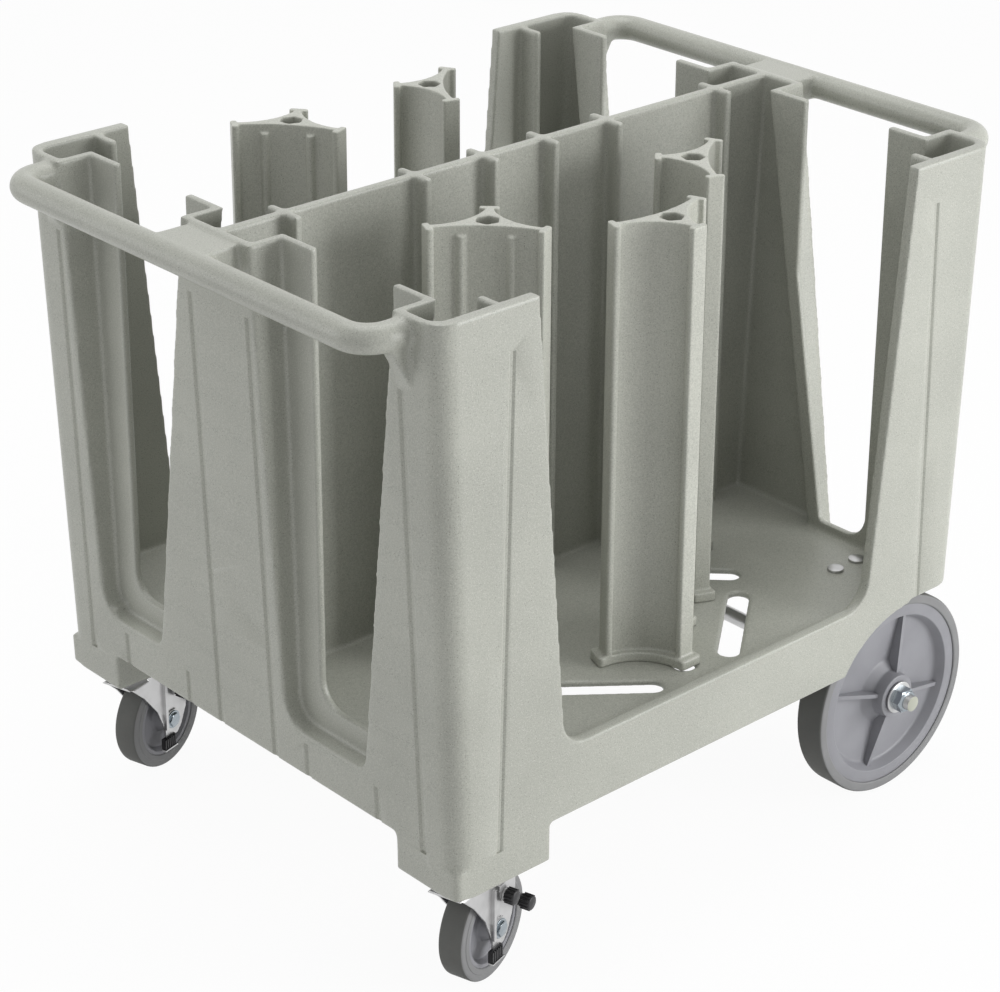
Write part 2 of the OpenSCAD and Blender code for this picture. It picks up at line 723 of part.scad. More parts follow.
module caster_bolt(side) {
    color([0.74, 0.75, 0.77]) at_caster(side) translate([caster_trail, 0, caster_d / 2]) {
        translate([0, -fork_half - fork_t - bolt_head_h, 0]) rotate([-90, 0, 0])
            cylinder(r = caster_bolt_d * hex_share, h = bolt_head_h, $fn = 6);
        translate([0, -fork_half - fork_t - over, 0]) rotate([-90, 0, 0])
            cylinder(r = caster_bolt_d / 2, h = 2 * (fork_half + fork_t) + over + bolt_head_h + over, $fn = 32);
    }
}
module caster_nut(side) {
    color([0.72, 0.73, 0.75]) at_caster(side)
        translate([caster_trail, fork_half + fork_t, caster_d / 2]) rotate([-90, 0, 0]) difference() {
            cylinder(r = caster_bolt_d * hex_share, h = bolt_head_h, $fn = 6);
            translate([0, 0, -over])
                cylinder(r = caster_bolt_d / 2 + run_fit, h = bolt_head_h + 2 * over, $fn = 32);
        }
}
module at_caster_wheel(side) {
    at_caster(side) translate([caster_trail, 0, caster_d / 2]) rotate([90, 0, 0]) children();
}
caster_tyre_t = 15.5;
caster_core_r = caster_d / 2 - caster_tyre_t;
caster_hub_r = 15;
caster_hub_w = 2 * fork_half - 2 * play;
caster_web = 12;
caster_bead = 3;
module caster_core(side) {
    color([0.55, 0.55, 0.58]) at_caster_wheel(side) rotate_extrude($fn = 64)
        polygon([[caster_bolt_d / 2 + run_fit, -caster_hub_w / 2], [caster_hub_r, -caster_hub_w / 2],
            [caster_hub_r + caster_bead, -caster_web / 2], [caster_core_r - 2 * caster_bead, -caster_web / 2],
            [caster_core_r - caster_bead, -caster_w / 2 + caster_bead / 2],
            [caster_core_r, -caster_w / 2 + caster_bead / 2],
            [caster_core_r, caster_w / 2 - caster_bead / 2],
            [caster_core_r - caster_bead, caster_w / 2 - caster_bead / 2],
            [caster_core_r - 2 * caster_bead, caster_web / 2], [caster_hub_r + caster_bead, caster_web / 2],
            [caster_hub_r, caster_hub_w / 2], [caster_bolt_d / 2 + run_fit, caster_hub_w / 2]]);
}
module caster_tyre(side) {
    color([0.42, 0.42, 0.42]) at_caster_wheel(side) rotate_extrude($fn = 96)
        polygon([[caster_core_r, -caster_w / 2], [caster_d / 2 - 2 * caster_bead, -caster_w / 2],
            [caster_d / 2, -caster_w / 2 + 2 * caster_bead], [caster_d / 2, caster_w / 2 - 2 * caster_bead],
            [caster_d / 2 - 2 * caster_bead, caster_w / 2], [caster_core_r, caster_w / 2]]);
}

// Side brake: a steel arm on a pin through the fork's outer leg, with two ribbed grips
brake_ahead = 12;
brake_x = caster_trail + brake_ahead;
brake_z = 100;
brake_pin_d = 6;
brake_arm_t = 2.5;
brake_len = 42;
brake_drop = 38;
brake_w = 14;
brake_grip_r = 8;
brake_grip_h = 12;
brake_seat = fork_half + fork_t + play;
module at_brake(side) {
    at_caster(side) translate([brake_x, -brake_seat, brake_z]) rotate([90, brake_drop, 0]) children();
}
module brake_arm(side) {
    color([0.74, 0.75, 0.77]) at_brake(side) {
        linear_extrude(brake_arm_t) polygon([for (p = slot_outline(brake_len, brake_w / 2))
            p + [brake_len / 2, 0]]);
        translate([0, 0, -fork_t - 2 * play])
            cylinder(r = brake_pin_d / 2, h = fork_t + 2 * play + over, $fn = 24);
    }
}
grip_ribs = 10;
module brake_grips(side) {
    color([0.10, 0.10, 0.10]) at_brake(side) for (x = [0, brake_len])
        translate([x, 0, brake_arm_t]) difference() {
            cylinder(r = brake_grip_r, h = brake_grip_h, $fn = 40);
            for (k = [0 : grip_ribs - 1]) rotate([0, 0, k * 360 / grip_ribs])
                translate([brake_grip_r, 0, brake_grip_h / 4])
                    cylinder(r = brake_grip_r / 8, h = brake_grip_h, $fn = 12);
        }
}

// Rear axle, the steel brackets that hang it from the floor, and its spacers
bracket_t = 5;
bracket_w = 60;
bracket_foot = 46;
bracket_y = well_y - panel_t - play - bracket_t;
bracket_low = 22;
bracket_nut_share = 0.8;
bracket_bolt_d = 9.9;
bracket_hole_x = 19;
bracket_holes = [for (s = [-1, 1]) [axle_x + s * bracket_hole_x, bracket_y - bracket_foot / 2]];
axle_z = wheel_d / 2;
module rear_axle() {
    color([0.70, 0.72, 0.75]) translate([axle_x, -axle_len / 2, axle_z]) rotate([-90, 0, 0])
        cylinder(r = axle_d / 2, h = axle_len, $fn = 48);
}
module axle_brackets() {
    color([0.30, 0.30, 0.31]) both_sides() difference() {
        union() {
            along_y(bracket_y, bracket_y + bracket_t) polygon(rounded([
                [axle_x - bracket_w / 2, floor_under], [axle_x - bracket_w / 3, axle_z - bracket_low],
                [axle_x + bracket_w / 3, axle_z - bracket_low], [axle_x + bracket_w / 2, floor_under]],
                [0, axle_d / 2, axle_d / 2, 0]));
            translate([axle_x - bracket_w / 2, bracket_y + bracket_t - bracket_foot, floor_under - bracket_t])
                cube([bracket_w, bracket_foot, bracket_t]);
        }
        translate([axle_x, bracket_y - over, axle_z]) rotate([-90, 0, 0])
            cylinder(r = axle_d / 2 + run_fit, h = bracket_t + 2 * over, $fn = 48);
        for (p = bracket_holes) translate([p[0], p[1], floor_under - bracket_t - over])
            cylinder(r = bracket_bolt_d / 2 + bolt_fit, h = bracket_t + 2 * over, $fn = 24);
    }
}
module bracket_bolts() {
    color([0.70, 0.71, 0.73]) both_sides() for (p = bracket_holes) translate([p[0], p[1], 0]) {
        translate([0, 0, floor_z]) cylinder(r = bracket_bolt_d, h = bracket_bolt_d / 3, $fn = 32);
        translate([0, 0, floor_under - bracket_t - bracket_bolt_d])
            cylinder(r = bracket_bolt_d / 2, h = floor_t + bracket_t + bracket_bolt_d + over, $fn = 24);
        translate([0, 0, floor_under - bracket_t - bracket_bolt_d * bracket_nut_share])
            cylinder(r = bracket_bolt_d * hex_share, h = bracket_bolt_d * bracket_nut_share, $fn = 6);
    }
}
sleeve_t = 4;
hub_in_proud = 2;
spacer_r = axle_d / 2 + sleeve_t;
hub_in = wheel_face - wheel_w - hub_in_proud;
module axle_spacers() {
    color([0.70, 0.71, 0.73]) both_sides()
        translate([axle_x, bracket_y + bracket_t, axle_z]) rotate([-90, 0, 0]) difference() {
            cylinder(r = spacer_r, h = hub_in - play - bracket_y - bracket_t, $fn = 40);
            translate([0, 0, -over]) cylinder(r = axle_d / 2 + run_fit, h = reach, $fn = 48);
        }
}

// Rear wheels: moulded core with a dished web and four fins, solid tyre, bush in the hub
tyre_t = 12;
rim_t = 15;
core_r = wheel_d / 2 - tyre_t;
dish_r = core_r - rim_t;
web_t = 8;
hub_r = 24;
hub_out_proud = 8;
bush_r = axle_d / 2 + sleeve_t;
hub_out = wheel_face + hub_out_proud;
fin_t = 6;
fin_turn = 75;
bead = 4;
module at_wheel() {
    translate([axle_x, wheel_face - wheel_w / 2, axle_z]) rotate([-90, 0, 0]) children();
}
module one_core() {
    mid = wheel_face - wheel_w / 2;
    half = wheel_w / 2;
    at_wheel() {
        rotate_extrude($fn = 96) polygon([[bush_r, hub_in - mid], [hub_r, hub_in - mid],
            [hub_r + bead, -web_t / 2], [dish_r - bead, -web_t / 2], [dish_r, -half + bead / 2],
            [core_r, -half + bead / 2], [core_r, half - bead / 2], [dish_r, half - bead / 2],
            [dish_r - bead, web_t / 2], [hub_r + bead, web_t / 2], [hub_r, hub_out - mid],
            [bush_r, hub_out - mid]]);
        for (k = [0 : 3], s = [-1, 1]) rotate([0, 0, -fin_turn + 90 * k]) rotate([90, 0, 0])
            translate([0, 0, -fin_t / 2]) linear_extrude(fin_t) polygon([
                [hub_r - bead / 2, 0], [dish_r - bead / 4, 0], [dish_r - bead / 4, s * half / 2],
                [hub_r - bead / 2, s * half]]);
    }
}
module one_tyre() {
    half = wheel_w / 2;
    at_wheel() rotate_extrude($fn = 128) polygon([[core_r, -half], [wheel_d / 2 - bead, -half],
        [wheel_d / 2, -half + bead], [wheel_d / 2, half - bead], [wheel_d / 2 - bead, half],
        [core_r, half]]);
}
module one_bush() {
    translate([axle_x, hub_in, axle_z]) rotate([-90, 0, 0]) difference() {
        cylinder(r = bush_r, h = hub_out - hub_in + over, $fn = 48);
        translate([0, 0, -over])
            cylinder(r = axle_d / 2 + run_fit, h = hub_out - hub_in + 3 * over, $fn = 48);
    }
}
module on_side(side) {
    if (side > 0) children();
    else mirror([0, 1, 0]) children();
}
module wheel_core(side) { color([0.60, 0.60, 0.63]) on_side(side) one_core(); }
module wheel_tyre(side) { color([0.52, 0.52, 0.53]) on_side(side) one_tyre(); }
module wheel_bush(side) { color([0.80, 0.80, 0.78]) on_side(side) one_bush(); }

washer_y = hub_out + over + play;
axle_washer_t = 2.5;
axle_nut_share = 0.82;
nut_h = 14;
module axle_washers() {
    color([0.74, 0.75, 0.77]) both_sides() translate([axle_x, washer_y, axle_z]) rotate([-90, 0, 0])
        difference() {
            cylinder(r = hub_r - bead, h = axle_washer_t, $fn = 48);
            translate([0, 0, -over]) cylinder(r = axle_d / 2 + run_fit, h = reach, $fn = 48);
        }
}
module axle_nuts() {
    color([0.70, 0.74, 0.78]) both_sides()
        translate([axle_x, washer_y + axle_washer_t, axle_z]) rotate([-90, 0, 0]) difference() {
            cylinder(r = axle_d * axle_nut_share, h = nut_h, $fn = 6);
            translate([0, 0, -over]) cylinder(r = axle_d / 2 + run_fit, h = reach, $fn = 48);
        }
}

floor_pan();
centre_wall();
end_wall(180);  // end_wall_casters
end_wall(0);  // end_wall_wheels
skirt_ends();
side_sills();
end_bars();
tower(0);  // tower_1
tower(1);  // tower_2
tower(2);  // tower_3
tower(3);  // tower_4
tower(4);  // tower_5
stud(0);  // stud_1
stud(1);  // stud_2
stud(2);  // stud_3
stud(3);  // stud_4
stud(4);  // stud_5
clamp_washer(0);  // clamp_washer_1
clamp_washer(1);  // clamp_washer_2
clamp_washer(2);  // clamp_washer_3
clamp_washer(3);  // clamp_washer_4
clamp_washer(4);  // clamp_washer_5
wing_knob(0);  // wing_knob_1
wing_knob(1);  // wing_knob_2
wing_knob(2);  // wing_knob_3
wing_knob(3);  // wing_knob_4
wing_knob(4);  // wing_knob_5
caster_plate(1);  // caster_plate_left
caster_plate(-1);  // caster_plate_right
plate_bolts();
swivel_race(1);  // swivel_race_left
swivel_race(-1);  // swivel_race_right
kingpin(1);  // kingpin_left
kingpin(-1);  // kingpin_right
caster_fork(1);  // caster_fork_left
caster_fork(-1);  // caster_fork_right
caster_bolt(1);  // caster_bolt_left
caster_bolt(-1);  // caster_bolt_right
caster_nut(1);  // caster_nut_left
caster_nut(-1);  // caster_nut_right
caster_core(1);  // caster_core_left
caster_core(-1);  // caster_core_right
caster_tyre(1);  // caster_tyre_left
caster_tyre(-1);  // caster_tyre_right
brake_arm(1);  // brake_arm_left
brake_arm(-1);  // brake_arm_right
brake_grips(1);  // brake_grips_left
brake_grips(-1);  // brake_grips_right
rear_axle();
axle_brackets();
bracket_bolts();
axle_spacers();
axle_washers();
axle_nuts();
wheel_core(1);  // wheel_core_left
wheel_core(-1);  // wheel_core_right
wheel_tyre(1);  // wheel_tyre_left
wheel_tyre(-1);  // wheel_tyre_right
wheel_bush(1);  // wheel_bush_left
wheel_bush(-1);  // wheel_bush_right
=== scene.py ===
# %% [markdown]
# A plate dispenser cart is one large plastic moulding on four wheels, with guide towers clamped to its
# floor. The solids of every piece come from the CAD model, in metres and in their places. What they lack
# is what a mould and a workshop give: soft edges, speckled plastic, plated steel and moulded rubber.

# %% Load the frame
import json
import math

import bmesh
import bpy
from mathutils import Matrix, Vector

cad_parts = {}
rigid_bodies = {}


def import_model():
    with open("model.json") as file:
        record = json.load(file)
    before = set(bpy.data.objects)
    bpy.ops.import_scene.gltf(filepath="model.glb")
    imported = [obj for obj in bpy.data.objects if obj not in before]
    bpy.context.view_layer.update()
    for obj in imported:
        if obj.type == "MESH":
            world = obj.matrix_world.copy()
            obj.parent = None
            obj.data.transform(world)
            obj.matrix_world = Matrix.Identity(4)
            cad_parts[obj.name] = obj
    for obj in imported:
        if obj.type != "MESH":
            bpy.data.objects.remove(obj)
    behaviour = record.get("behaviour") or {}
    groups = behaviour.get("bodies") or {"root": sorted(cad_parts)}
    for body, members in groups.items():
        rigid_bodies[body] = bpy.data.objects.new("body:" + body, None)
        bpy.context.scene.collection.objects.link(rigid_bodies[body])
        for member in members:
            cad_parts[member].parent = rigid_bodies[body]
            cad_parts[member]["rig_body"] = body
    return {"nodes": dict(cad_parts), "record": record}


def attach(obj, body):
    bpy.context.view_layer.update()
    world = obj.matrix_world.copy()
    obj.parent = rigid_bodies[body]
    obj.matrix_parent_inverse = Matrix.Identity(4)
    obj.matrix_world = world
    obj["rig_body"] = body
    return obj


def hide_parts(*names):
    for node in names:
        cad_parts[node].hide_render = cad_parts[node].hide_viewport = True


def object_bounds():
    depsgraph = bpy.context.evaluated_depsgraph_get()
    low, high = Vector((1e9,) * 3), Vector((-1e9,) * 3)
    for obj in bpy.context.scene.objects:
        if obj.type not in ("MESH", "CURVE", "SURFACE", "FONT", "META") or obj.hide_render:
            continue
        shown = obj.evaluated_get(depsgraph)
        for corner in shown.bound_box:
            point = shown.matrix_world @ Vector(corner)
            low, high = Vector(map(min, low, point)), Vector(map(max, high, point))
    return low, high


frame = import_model()
nodes = frame["nodes"]
cad_low, cad_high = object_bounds()
MM = 0.001
print("frame:", len(nodes), "nodes,", [round(v, 3) for v in cad_high - cad_low])

# %% [markdown]
# The photograph was taken from a little above the near corner with a long lens. The camera was fitted
# to the cart's own edges, so its place, its turn and the place of the lens axis in the picture are known.
# The axis isn't in the middle of the picture, which Blender writes as a shift.

# %% Camera
PICTURE_W, PICTURE_H = 1000, 992
FOCAL_PX = 2877.84
AXIS_PX = (549.28, 373.57)
CAMERA_PLACE = Vector((-2046.8, -2247.7, 1846.8)) * MM
CAMERA_AZ, CAMERA_EL, CAMERA_ROLL = (math.radians(a) for a in (-43.14, 23.44, 0.7))


def camera_axes():
    back = Vector((math.sin(CAMERA_AZ) * math.cos(CAMERA_EL), -math.cos(CAMERA_AZ) * math.cos(CAMERA_EL),
                   math.sin(CAMERA_EL)))
    right = (-back).cross(Vector((0, 0, 1))).normalized()
    up = back.cross(right)
    turned_right = right * math.cos(CAMERA_ROLL) + up * math.sin(CAMERA_ROLL)
    turned_up = up * math.cos(CAMERA_ROLL) - right * math.sin(CAMERA_ROLL)
    return turned_right, turned_up, back


def make_camera():
    lens = bpy.data.cameras.new("view_camera")
    lens.sensor_width = 36
    lens.sensor_fit = "HORIZONTAL"
    lens.lens = FOCAL_PX / PICTURE_W * lens.sensor_width
    lens.shift_x = (PICTURE_W / 2 - AXIS_PX[0]) / PICTURE_W
    lens.shift_y = (AXIS_PX[1] - PICTURE_H / 2) / PICTURE_W
    camera = bpy.data.objects.new("view_camera", lens)
    bpy.context.scene.collection.objects.link(camera)
    turn = Matrix([list(row) for row in zip(*camera_axes())]).to_4x4()
    camera.matrix_world = Matrix.Translation(CAMERA_PLACE) @ turn
    bpy.context.scene.camera = camera
    return camera


camera = make_camera()
bpy.context.scene.view_settings.view_transform = "Standard"
print("camera: lens", round(camera.data.lens, 1), "mm")

# %% [markdown]
# Shader maths reads best as sums. This class holds one output of a node, and the signs between two of
# them make the Math nodes. Everything else, such as noise or a mix, comes from one method.


# %% Shader values
class Value:
    def __init__(self, tree, socket):
        self.tree = tree
        self.socket = socket

    def node(self, kind, out=0, settings=None, **sockets):
        made = self.tree.nodes.new(kind)
        for key, setting in (settings or {}).items():
            setattr(made, key, setting)
        for key, value in sockets.items():
            plug = pick(made.inputs, key)
            if isinstance(value, Value):
                self.tree.links.new(value.socket, plug)
            else:
                plug.default_value = value
        return Value(self.tree, pick(made.outputs, out))

    def math(self, operation, a, b=0.0):
        return self.node("ShaderNodeMath", settings={"operation": operation}, i0=a, i1=b)

    def __add__(self, other):
        return self.math("ADD", self, other)

    def __sub__(self, other):
        return self.math("SUBTRACT", self, other)

    def __truediv__(self, other):
        return self.math("DIVIDE", self, other)

    def __rsub__(self, other):
        return self.math("SUBTRACT", other, self)

    def __mul__(self, other):
        return self.math("MULTIPLY", self, other)

    __radd__ = __add__
    __rmul__ = __mul__

    def above(self, low, high):
        return self.node("ShaderNodeMapRange", settings={"interpolation_type": "SMOOTHSTEP"},
                         Value=self, From_Min=low, From_Max=high)

    def mix(self, dark, light):
        return self.node("ShaderNodeMix", out="Result_Color", settings={"data_type": "RGBA"},
                         Factor_Float=self, A_Color=dark, B_Color=light)


def pick(sockets, key):
    """Finds a socket by number, as i0 or i1, by identifier, or by name with _ for a space."""
    if isinstance(key, int):
        return sockets[key]
    if key[0] == "i" and key[1:].isdigit():
        return sockets[int(key[1:])]
    spoken = key.rstrip("_").replace("_", " ")
    for socket in sockets:
        if socket.identifier in (key, spoken) or socket.name == spoken:
            return socket
    raise KeyError(key)


def rgb(red, green, blue):
    return (red, green, blue, 1)


def finish_named(name, **shader):
    made = bpy.data.materials.new(name)
    made.use_nodes = True
    bsdf = made.node_tree.nodes["Principled BSDF"]
    for key, value in shader.items():
        bsdf.inputs[key.replace("_", " ")].default_value = value
    return made, bsdf, Value(made.node_tree, None)


def plug(shader, bsdf, **links):
    for key, value in links.items():
        shader.tree.links.new(value.socket, bsdf.inputs[key.replace("_", " ")])


def bump(shader, height, strength, distance):
    return shader.node("ShaderNodeBump", Strength=strength, Distance=distance, Height=height)


# %% [markdown]
# The plastic is rotomoulded: its colour is a pale grey-green with fine dark and light specks of about a
# millimetre, its surface has the faint pebble of the mould, and no two square decimetres are quite the
# same tone. Cells of a Voronoi texture make the specks, because each cell has a random number of its own.


# %% Speckled plastic
SPECK_SCALE, GRAIN_SCALE, MOTTLE_SCALE, TONE_SCALE = 760.0, 420.0, 640.0, 7.0
DARKER, LIGHTER = 0.87, 1.12


def scaled(colour, share):
    return rgb(*[part * share for part in colour])


def speckled_plastic(name, base, dark, light, roughness):
    made, bsdf, shader = finish_named(name, Specular_IOR_Level=0.4)
    place = shader.node("ShaderNodeTexCoord", out="Object")
    cell = shader.node("ShaderNodeTexVoronoi", out="Color", Vector=place, Scale=SPECK_SCALE)
    spot = shader.node("ShaderNodeTexVoronoi", out="Distance", Vector=place, Scale=SPECK_SCALE)
    chance = shader.node("ShaderNodeSeparateColor", out="Red", Color=cell)
    choice = shader.node("ShaderNodeSeparateColor", out="Green", Color=cell)
    round_spot = 1 - spot.above(0.18, 0.42)
    tone = shader.node("ShaderNodeTexNoise", out="Fac", Vector=place, Scale=TONE_SCALE, Detail=3.0)
    grain = shader.node("ShaderNodeTexNoise", out="Fac", Vector=place, Scale=GRAIN_SCALE, Detail=2.0)
    mottle = shader.node("ShaderNodeTexNoise", out="Fac", Vector=place, Scale=MOTTLE_SCALE, Detail=1.0)
    shade = (tone - 0.5) * 0.5 + mottle
    plain = shade.above(0.22, 0.78).mix(scaled(base, DARKER), scaled(base, LIGHTER))
    dark_spot = chance.above(0.86, 0.90) * round_spot * 0.85
    light_spot = choice.above(0.86, 0.90) * round_spot * 0.6
    speckled = dark_spot.mix(plain, rgb(*dark))
    colour = light_spot.mix(speckled, rgb(*light))
    plug(shader, bsdf, Base_Color=colour, Roughness=roughness + (grain - 0.5) * 0.12,
         Normal=bump(shader, grain, 0.25, 0.0004))
    return made


BODY = speckled_plastic("speckled_body", base=(0.405, 0.413, 0.368), dark=(0.14, 0.14, 0.12),
                        light=(0.66, 0.66, 0.62), roughness=0.35)
# The towers are the body's plastic, with their base colour painted lighter as painted light, for lamp light
# that doesn't reach them.
TOWER_PAINTED_LIGHTER = speckled_plastic("speckled_tower_painted_lighter", base=(0.455, 0.463, 0.412), dark=(0.15, 0.15, 0.13),
                         light=(0.64, 0.64, 0.60), roughness=0.36)

# %% [markdown]
# Steel parts are zinc plated, with a fine mottling in their gloss, and the nuts and bolts are plated in a
# darker, bluer zinc. The brake's grips are black plastic, the wheel cores grey plastic, and the tyres a
# grey rubber that is darker on the tread, where it has rolled.


# %% Steel, plastic and rubber
def plated_steel(name, colour, roughness):
    made, bsdf, shader = finish_named(name, Metallic=1.0)
    place = shader.node("ShaderNodeTexCoord", out="Object")
    mottle = shader.node("ShaderNodeTexNoise", out="Fac", Vector=place, Scale=180.0, Detail=3.0)
    stain = shader.node("ShaderNodeTexNoise", out="Fac", Vector=place, Scale=38.0, Detail=2.0)
    plug(shader, bsdf, Base_Color=stain.above(0.35, 0.65).mix(scaled(colour, 0.86), rgb(*colour)),
         Roughness=roughness + (mottle - 0.5) * 0.12, Normal=bump(shader, mottle, 0.05, 0.0002))
    return made


def moulded_plain(name, colour, roughness, grain_scale, grain_depth):
    made, bsdf, shader = finish_named(name, Specular_IOR_Level=0.4)
    place = shader.node("ShaderNodeTexCoord", out="Object")
    grain = shader.node("ShaderNodeTexNoise", out="Fac", Vector=place, Scale=grain_scale, Detail=3.0)
    tone = shader.node("ShaderNodeTexNoise", out="Fac", Vector=place, Scale=22.0, Detail=2.0)
    plug(shader, bsdf, Base_Color=tone.above(0.3, 0.7).mix(scaled(colour, 0.9), rgb(*colour)),
         Roughness=roughness + (grain - 0.5) * 0.16, Normal=bump(shader, grain, 0.3, grain_depth))
    return made


ZINC = plated_steel("zinc_plate", (0.58, 0.58, 0.58), 0.34)
NUT = plated_steel("blue_zinc_plate", (0.36, 0.40, 0.43), 0.20)
COATED = moulded_plain("black_coat", (0.03, 0.03, 0.032), 0.45, 300.0, 0.0002)
BLACK = moulded_plain("black_grip", (0.02, 0.02, 0.022), 0.38, 500.0, 0.0002)
CORE = moulded_plain("wheel_core", (0.262, 0.263, 0.283), 0.42, 350.0, 0.0003)
RUBBER = moulded_plain("tyre_rubber", (0.228, 0.229, 0.232), 0.58, 420.0, 0.0004)
TREAD = moulded_plain("tyre_tread", (0.125, 0.127, 0.120), 0.72, 240.0, 0.0006)
PALE = moulded_plain("axle_face", (0.42, 0.43, 0.36), 0.35, 300.0, 0.0002)
WHITE = moulded_plain("white_bush", (0.74, 0.73, 0.69), 0.40, 300.0, 0.0002)
FINISHES = {"body_plastic": BODY, "tower_plastic": TOWER_PAINTED_LIGHTER, "zinc_steel": ZINC, "dark_steel": COATED,
            "black_plastic": BLACK, "wheel_core_plastic": CORE, "wheel_tyre_rubber": RUBBER,
            "bush_plastic": WHITE}


def paint(piece, finish):
    piece.data.materials.clear()
    piece.data.materials.append(finish)


slots = {part["node"]: part["material_slot"] for part in frame["record"]["subparts"]}
for name, slot in slots.items():
    paint(nodes[name], FINISHES[slot])
print("finishes:", len(FINISHES), "on", len(slots), "nodes")

# %% [markdown]
# Every piece that is made here starts as a mesh in millimetres round its own middle, or as a merged copy
# of a CAD node. These helpers turn outlines into solids. An outline that is spun round an axis gives
# wheels, washers and knobs, and one that is pushed along an axis gives ribs, pads and cutters. Lengths
# are in millimetres until the vertices are made, and angles in degrees.


# %% Meshes from outlines
def linked(name, mesh):
    piece = bpy.data.objects.new(name, mesh)
    bpy.context.scene.collection.objects.link(piece)
    return piece


def closed(name, bm):
    bmesh.ops.remove_doubles(bm, verts=bm.verts, dist=0.000002)
    bmesh.ops.recalc_face_normals(bm, faces=bm.faces)
    mesh = bpy.data.meshes.new(name)
    bm.to_mesh(mesh)
    bm.free()
    return linked(name, mesh)


def arc_corners(points, radii, steps=4):
    """Replaces each corner of an outline by an arc of its own radius, or leaves it if the radius is 0."""
    soft = []
    for k, (corner, radius) in enumerate(zip(points, radii)):
        here = Vector(corner)
        if not radius:
            soft.append(here)
            continue
        before = (Vector(points[k - 1]) - here).normalized()
        after = (Vector(points[(k + 1) % len(points)]) - here).normalized()
        half = before.angle(after) / 2
        start, end = here + before * radius / math.tan(half), here + after * radius / math.tan(half)
        middle = here + (before + after).normalized() * radius / math.sin(half)
        first, last = start - middle, end - middle
        span = first.angle(last)
        for i in range(steps + 1):
            share = i / steps
            soft.append(middle + (first * math.sin(span * (1 - share)) + last * math.sin(span * share))
                        / math.sin(span))
    return soft


def spun(name, outline, place, steps=96):
    """Spins an outline of radius and distance along the axis round local Z, then puts it in place."""
    bm = bmesh.new()
    rings = []
    for i in range(steps):
        turn = 2 * math.pi * i / steps
        across, along = math.cos(turn), math.sin(turn)
        rings.append([bm.verts.new(place @ (Vector((r * across, r * along, height)) * MM))
                      for r, height in outline])
    for i, ring in enumerate(rings):
        other = rings[(i + 1) % steps]
        for k in range(len(ring)):
            m = (k + 1) % len(ring)
            bm.faces.new((ring[k], ring[m], other[m], other[k]))
    return closed(name, bm)


def pushed(name, outlines, place):
    """Joins one outline in local X and Y to the next, each at its own height, and closes both ends."""
    bm = bmesh.new()
    layers = [[bm.verts.new(place @ (Vector((p[0], p[1], height)) * MM)) for p in outline]
              for height, outline in outlines]
    for low, high in zip(layers, layers[1:]):
        for k in range(len(low)):
            m = (k + 1) % len(low)
            bm.faces.new((low[k], low[m], high[m], high[k]))
    bm.faces.new(layers[0])
    bm.faces.new(layers[-1])
    return closed(name, bm)


def at(x, y, z, turn_x=0.0, turn_y=0.0, turn_z=0.0):
    """A place in millimetres with turns in degrees, the turn about X made first and about Z last."""
    spin = Matrix.Rotation(math.radians(turn_z), 4, "Z") @ Matrix.Rotation(math.radians(turn_y), 4, "Y")
    return Matrix.Translation(Vector((x, y, z)) * MM) @ spin @ Matrix.Rotation(math.radians(turn_x), 4, "X")


def evaluated(piece):
    """Turns what the modifiers make into the piece's own mesh."""
    bpy.context.view_layer.update()
    shown = piece.evaluated_get(bpy.context.evaluated_depsgraph_get())
    mesh = bpy.data.meshes.new_from_object(shown)
    piece.modifiers.clear()
    piece.data = mesh
    return piece


def merged_copy(node_name, made_name, swell=0.0):
    """Copies a CAD node with its vertices merged, and grown by a hair where it has to fuse with others."""
    bm = bmesh.new()
    bm.from_mesh(nodes[node_name].data)
    bmesh.ops.remove_doubles(bm, verts=bm.verts, dist=0.00001)
    if swell:
        bm.normal_update()
        for vert in bm.verts:
            vert.co += vert.normal * swell * MM
    mesh = bpy.data.meshes.new(made_name)
    bm.to_mesh(mesh)
    bm.free()
    return linked(made_name, mesh)


def combine(piece, tools, operation):
    for k, tool in enumerate(tools):
        step = piece.modifiers.new("combine_%d" % k, "BOOLEAN")
        step.operation = operation
        step.solver = "MANIFOLD"
        step.object = tool
    evaluated(piece)
    for tool in tools:
        bpy.data.objects.remove(tool)
    return piece


def joined(name, pieces):
    bm = bmesh.new()
    for piece in pieces:
        bm.from_mesh(piece.data)
        bpy.data.objects.remove(piece)
    mesh = bpy.data.meshes.new(name)
    bm.to_mesh(mesh)
    bm.free()
    return linked(name, mesh)


def smooth_by_angle(piece, degrees):
    piece.data.shade_smooth()
    piece.data.set_sharp_from_angle(angle=math.radians(degrees))
    return piece


def hand_over(piece, finish, *names):
    paint(piece, finish)
    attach(piece, nodes[names[0]]["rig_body"])
    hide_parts(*names)
    print(piece.name, "stands for", len(names), "node(s) with", len(piece.data.polygons), "faces")


# %% [markdown]
# A mould can't make a sharp edge, and every edge of the cart is rounded by some millimetres. The pieces
# of the body are joined, the caster feet get their squarer corners, and the solid is turned into small
# cubes and back into a skin (a voxel remesh). The skin is relaxed, which rounds only what is sharp, and
# the flat stretches are thinned out again. Narrow channels would be lost in this, so they are cut last.


# %% Rounded mouldings
def moulded(piece, voxel, rounds, keep_faces):
    """Remeshes a piece in cubes of that size, relaxes it so many times, and keeps about so many faces."""
    remesh = piece.modifiers.new("cubes", "REMESH")
    remesh.mode = "VOXEL"
    remesh.voxel_size = voxel * MM
    relax = piece.modifiers.new("relax", "SMOOTH")
    relax.factor = 0.5
    relax.iterations = rounds
    evaluated(piece)
    dense = len(piece.data.polygons) * 2
    thin = piece.modifiers.new("thin", "DECIMATE")
    thin.ratio = min(1.0, keep_faces / dense)
    evaluated(piece)
    piece.data.shade_smooth()
    print(piece.name, dense, "triangles thinned to", len(piece.data.polygons))
    return piece


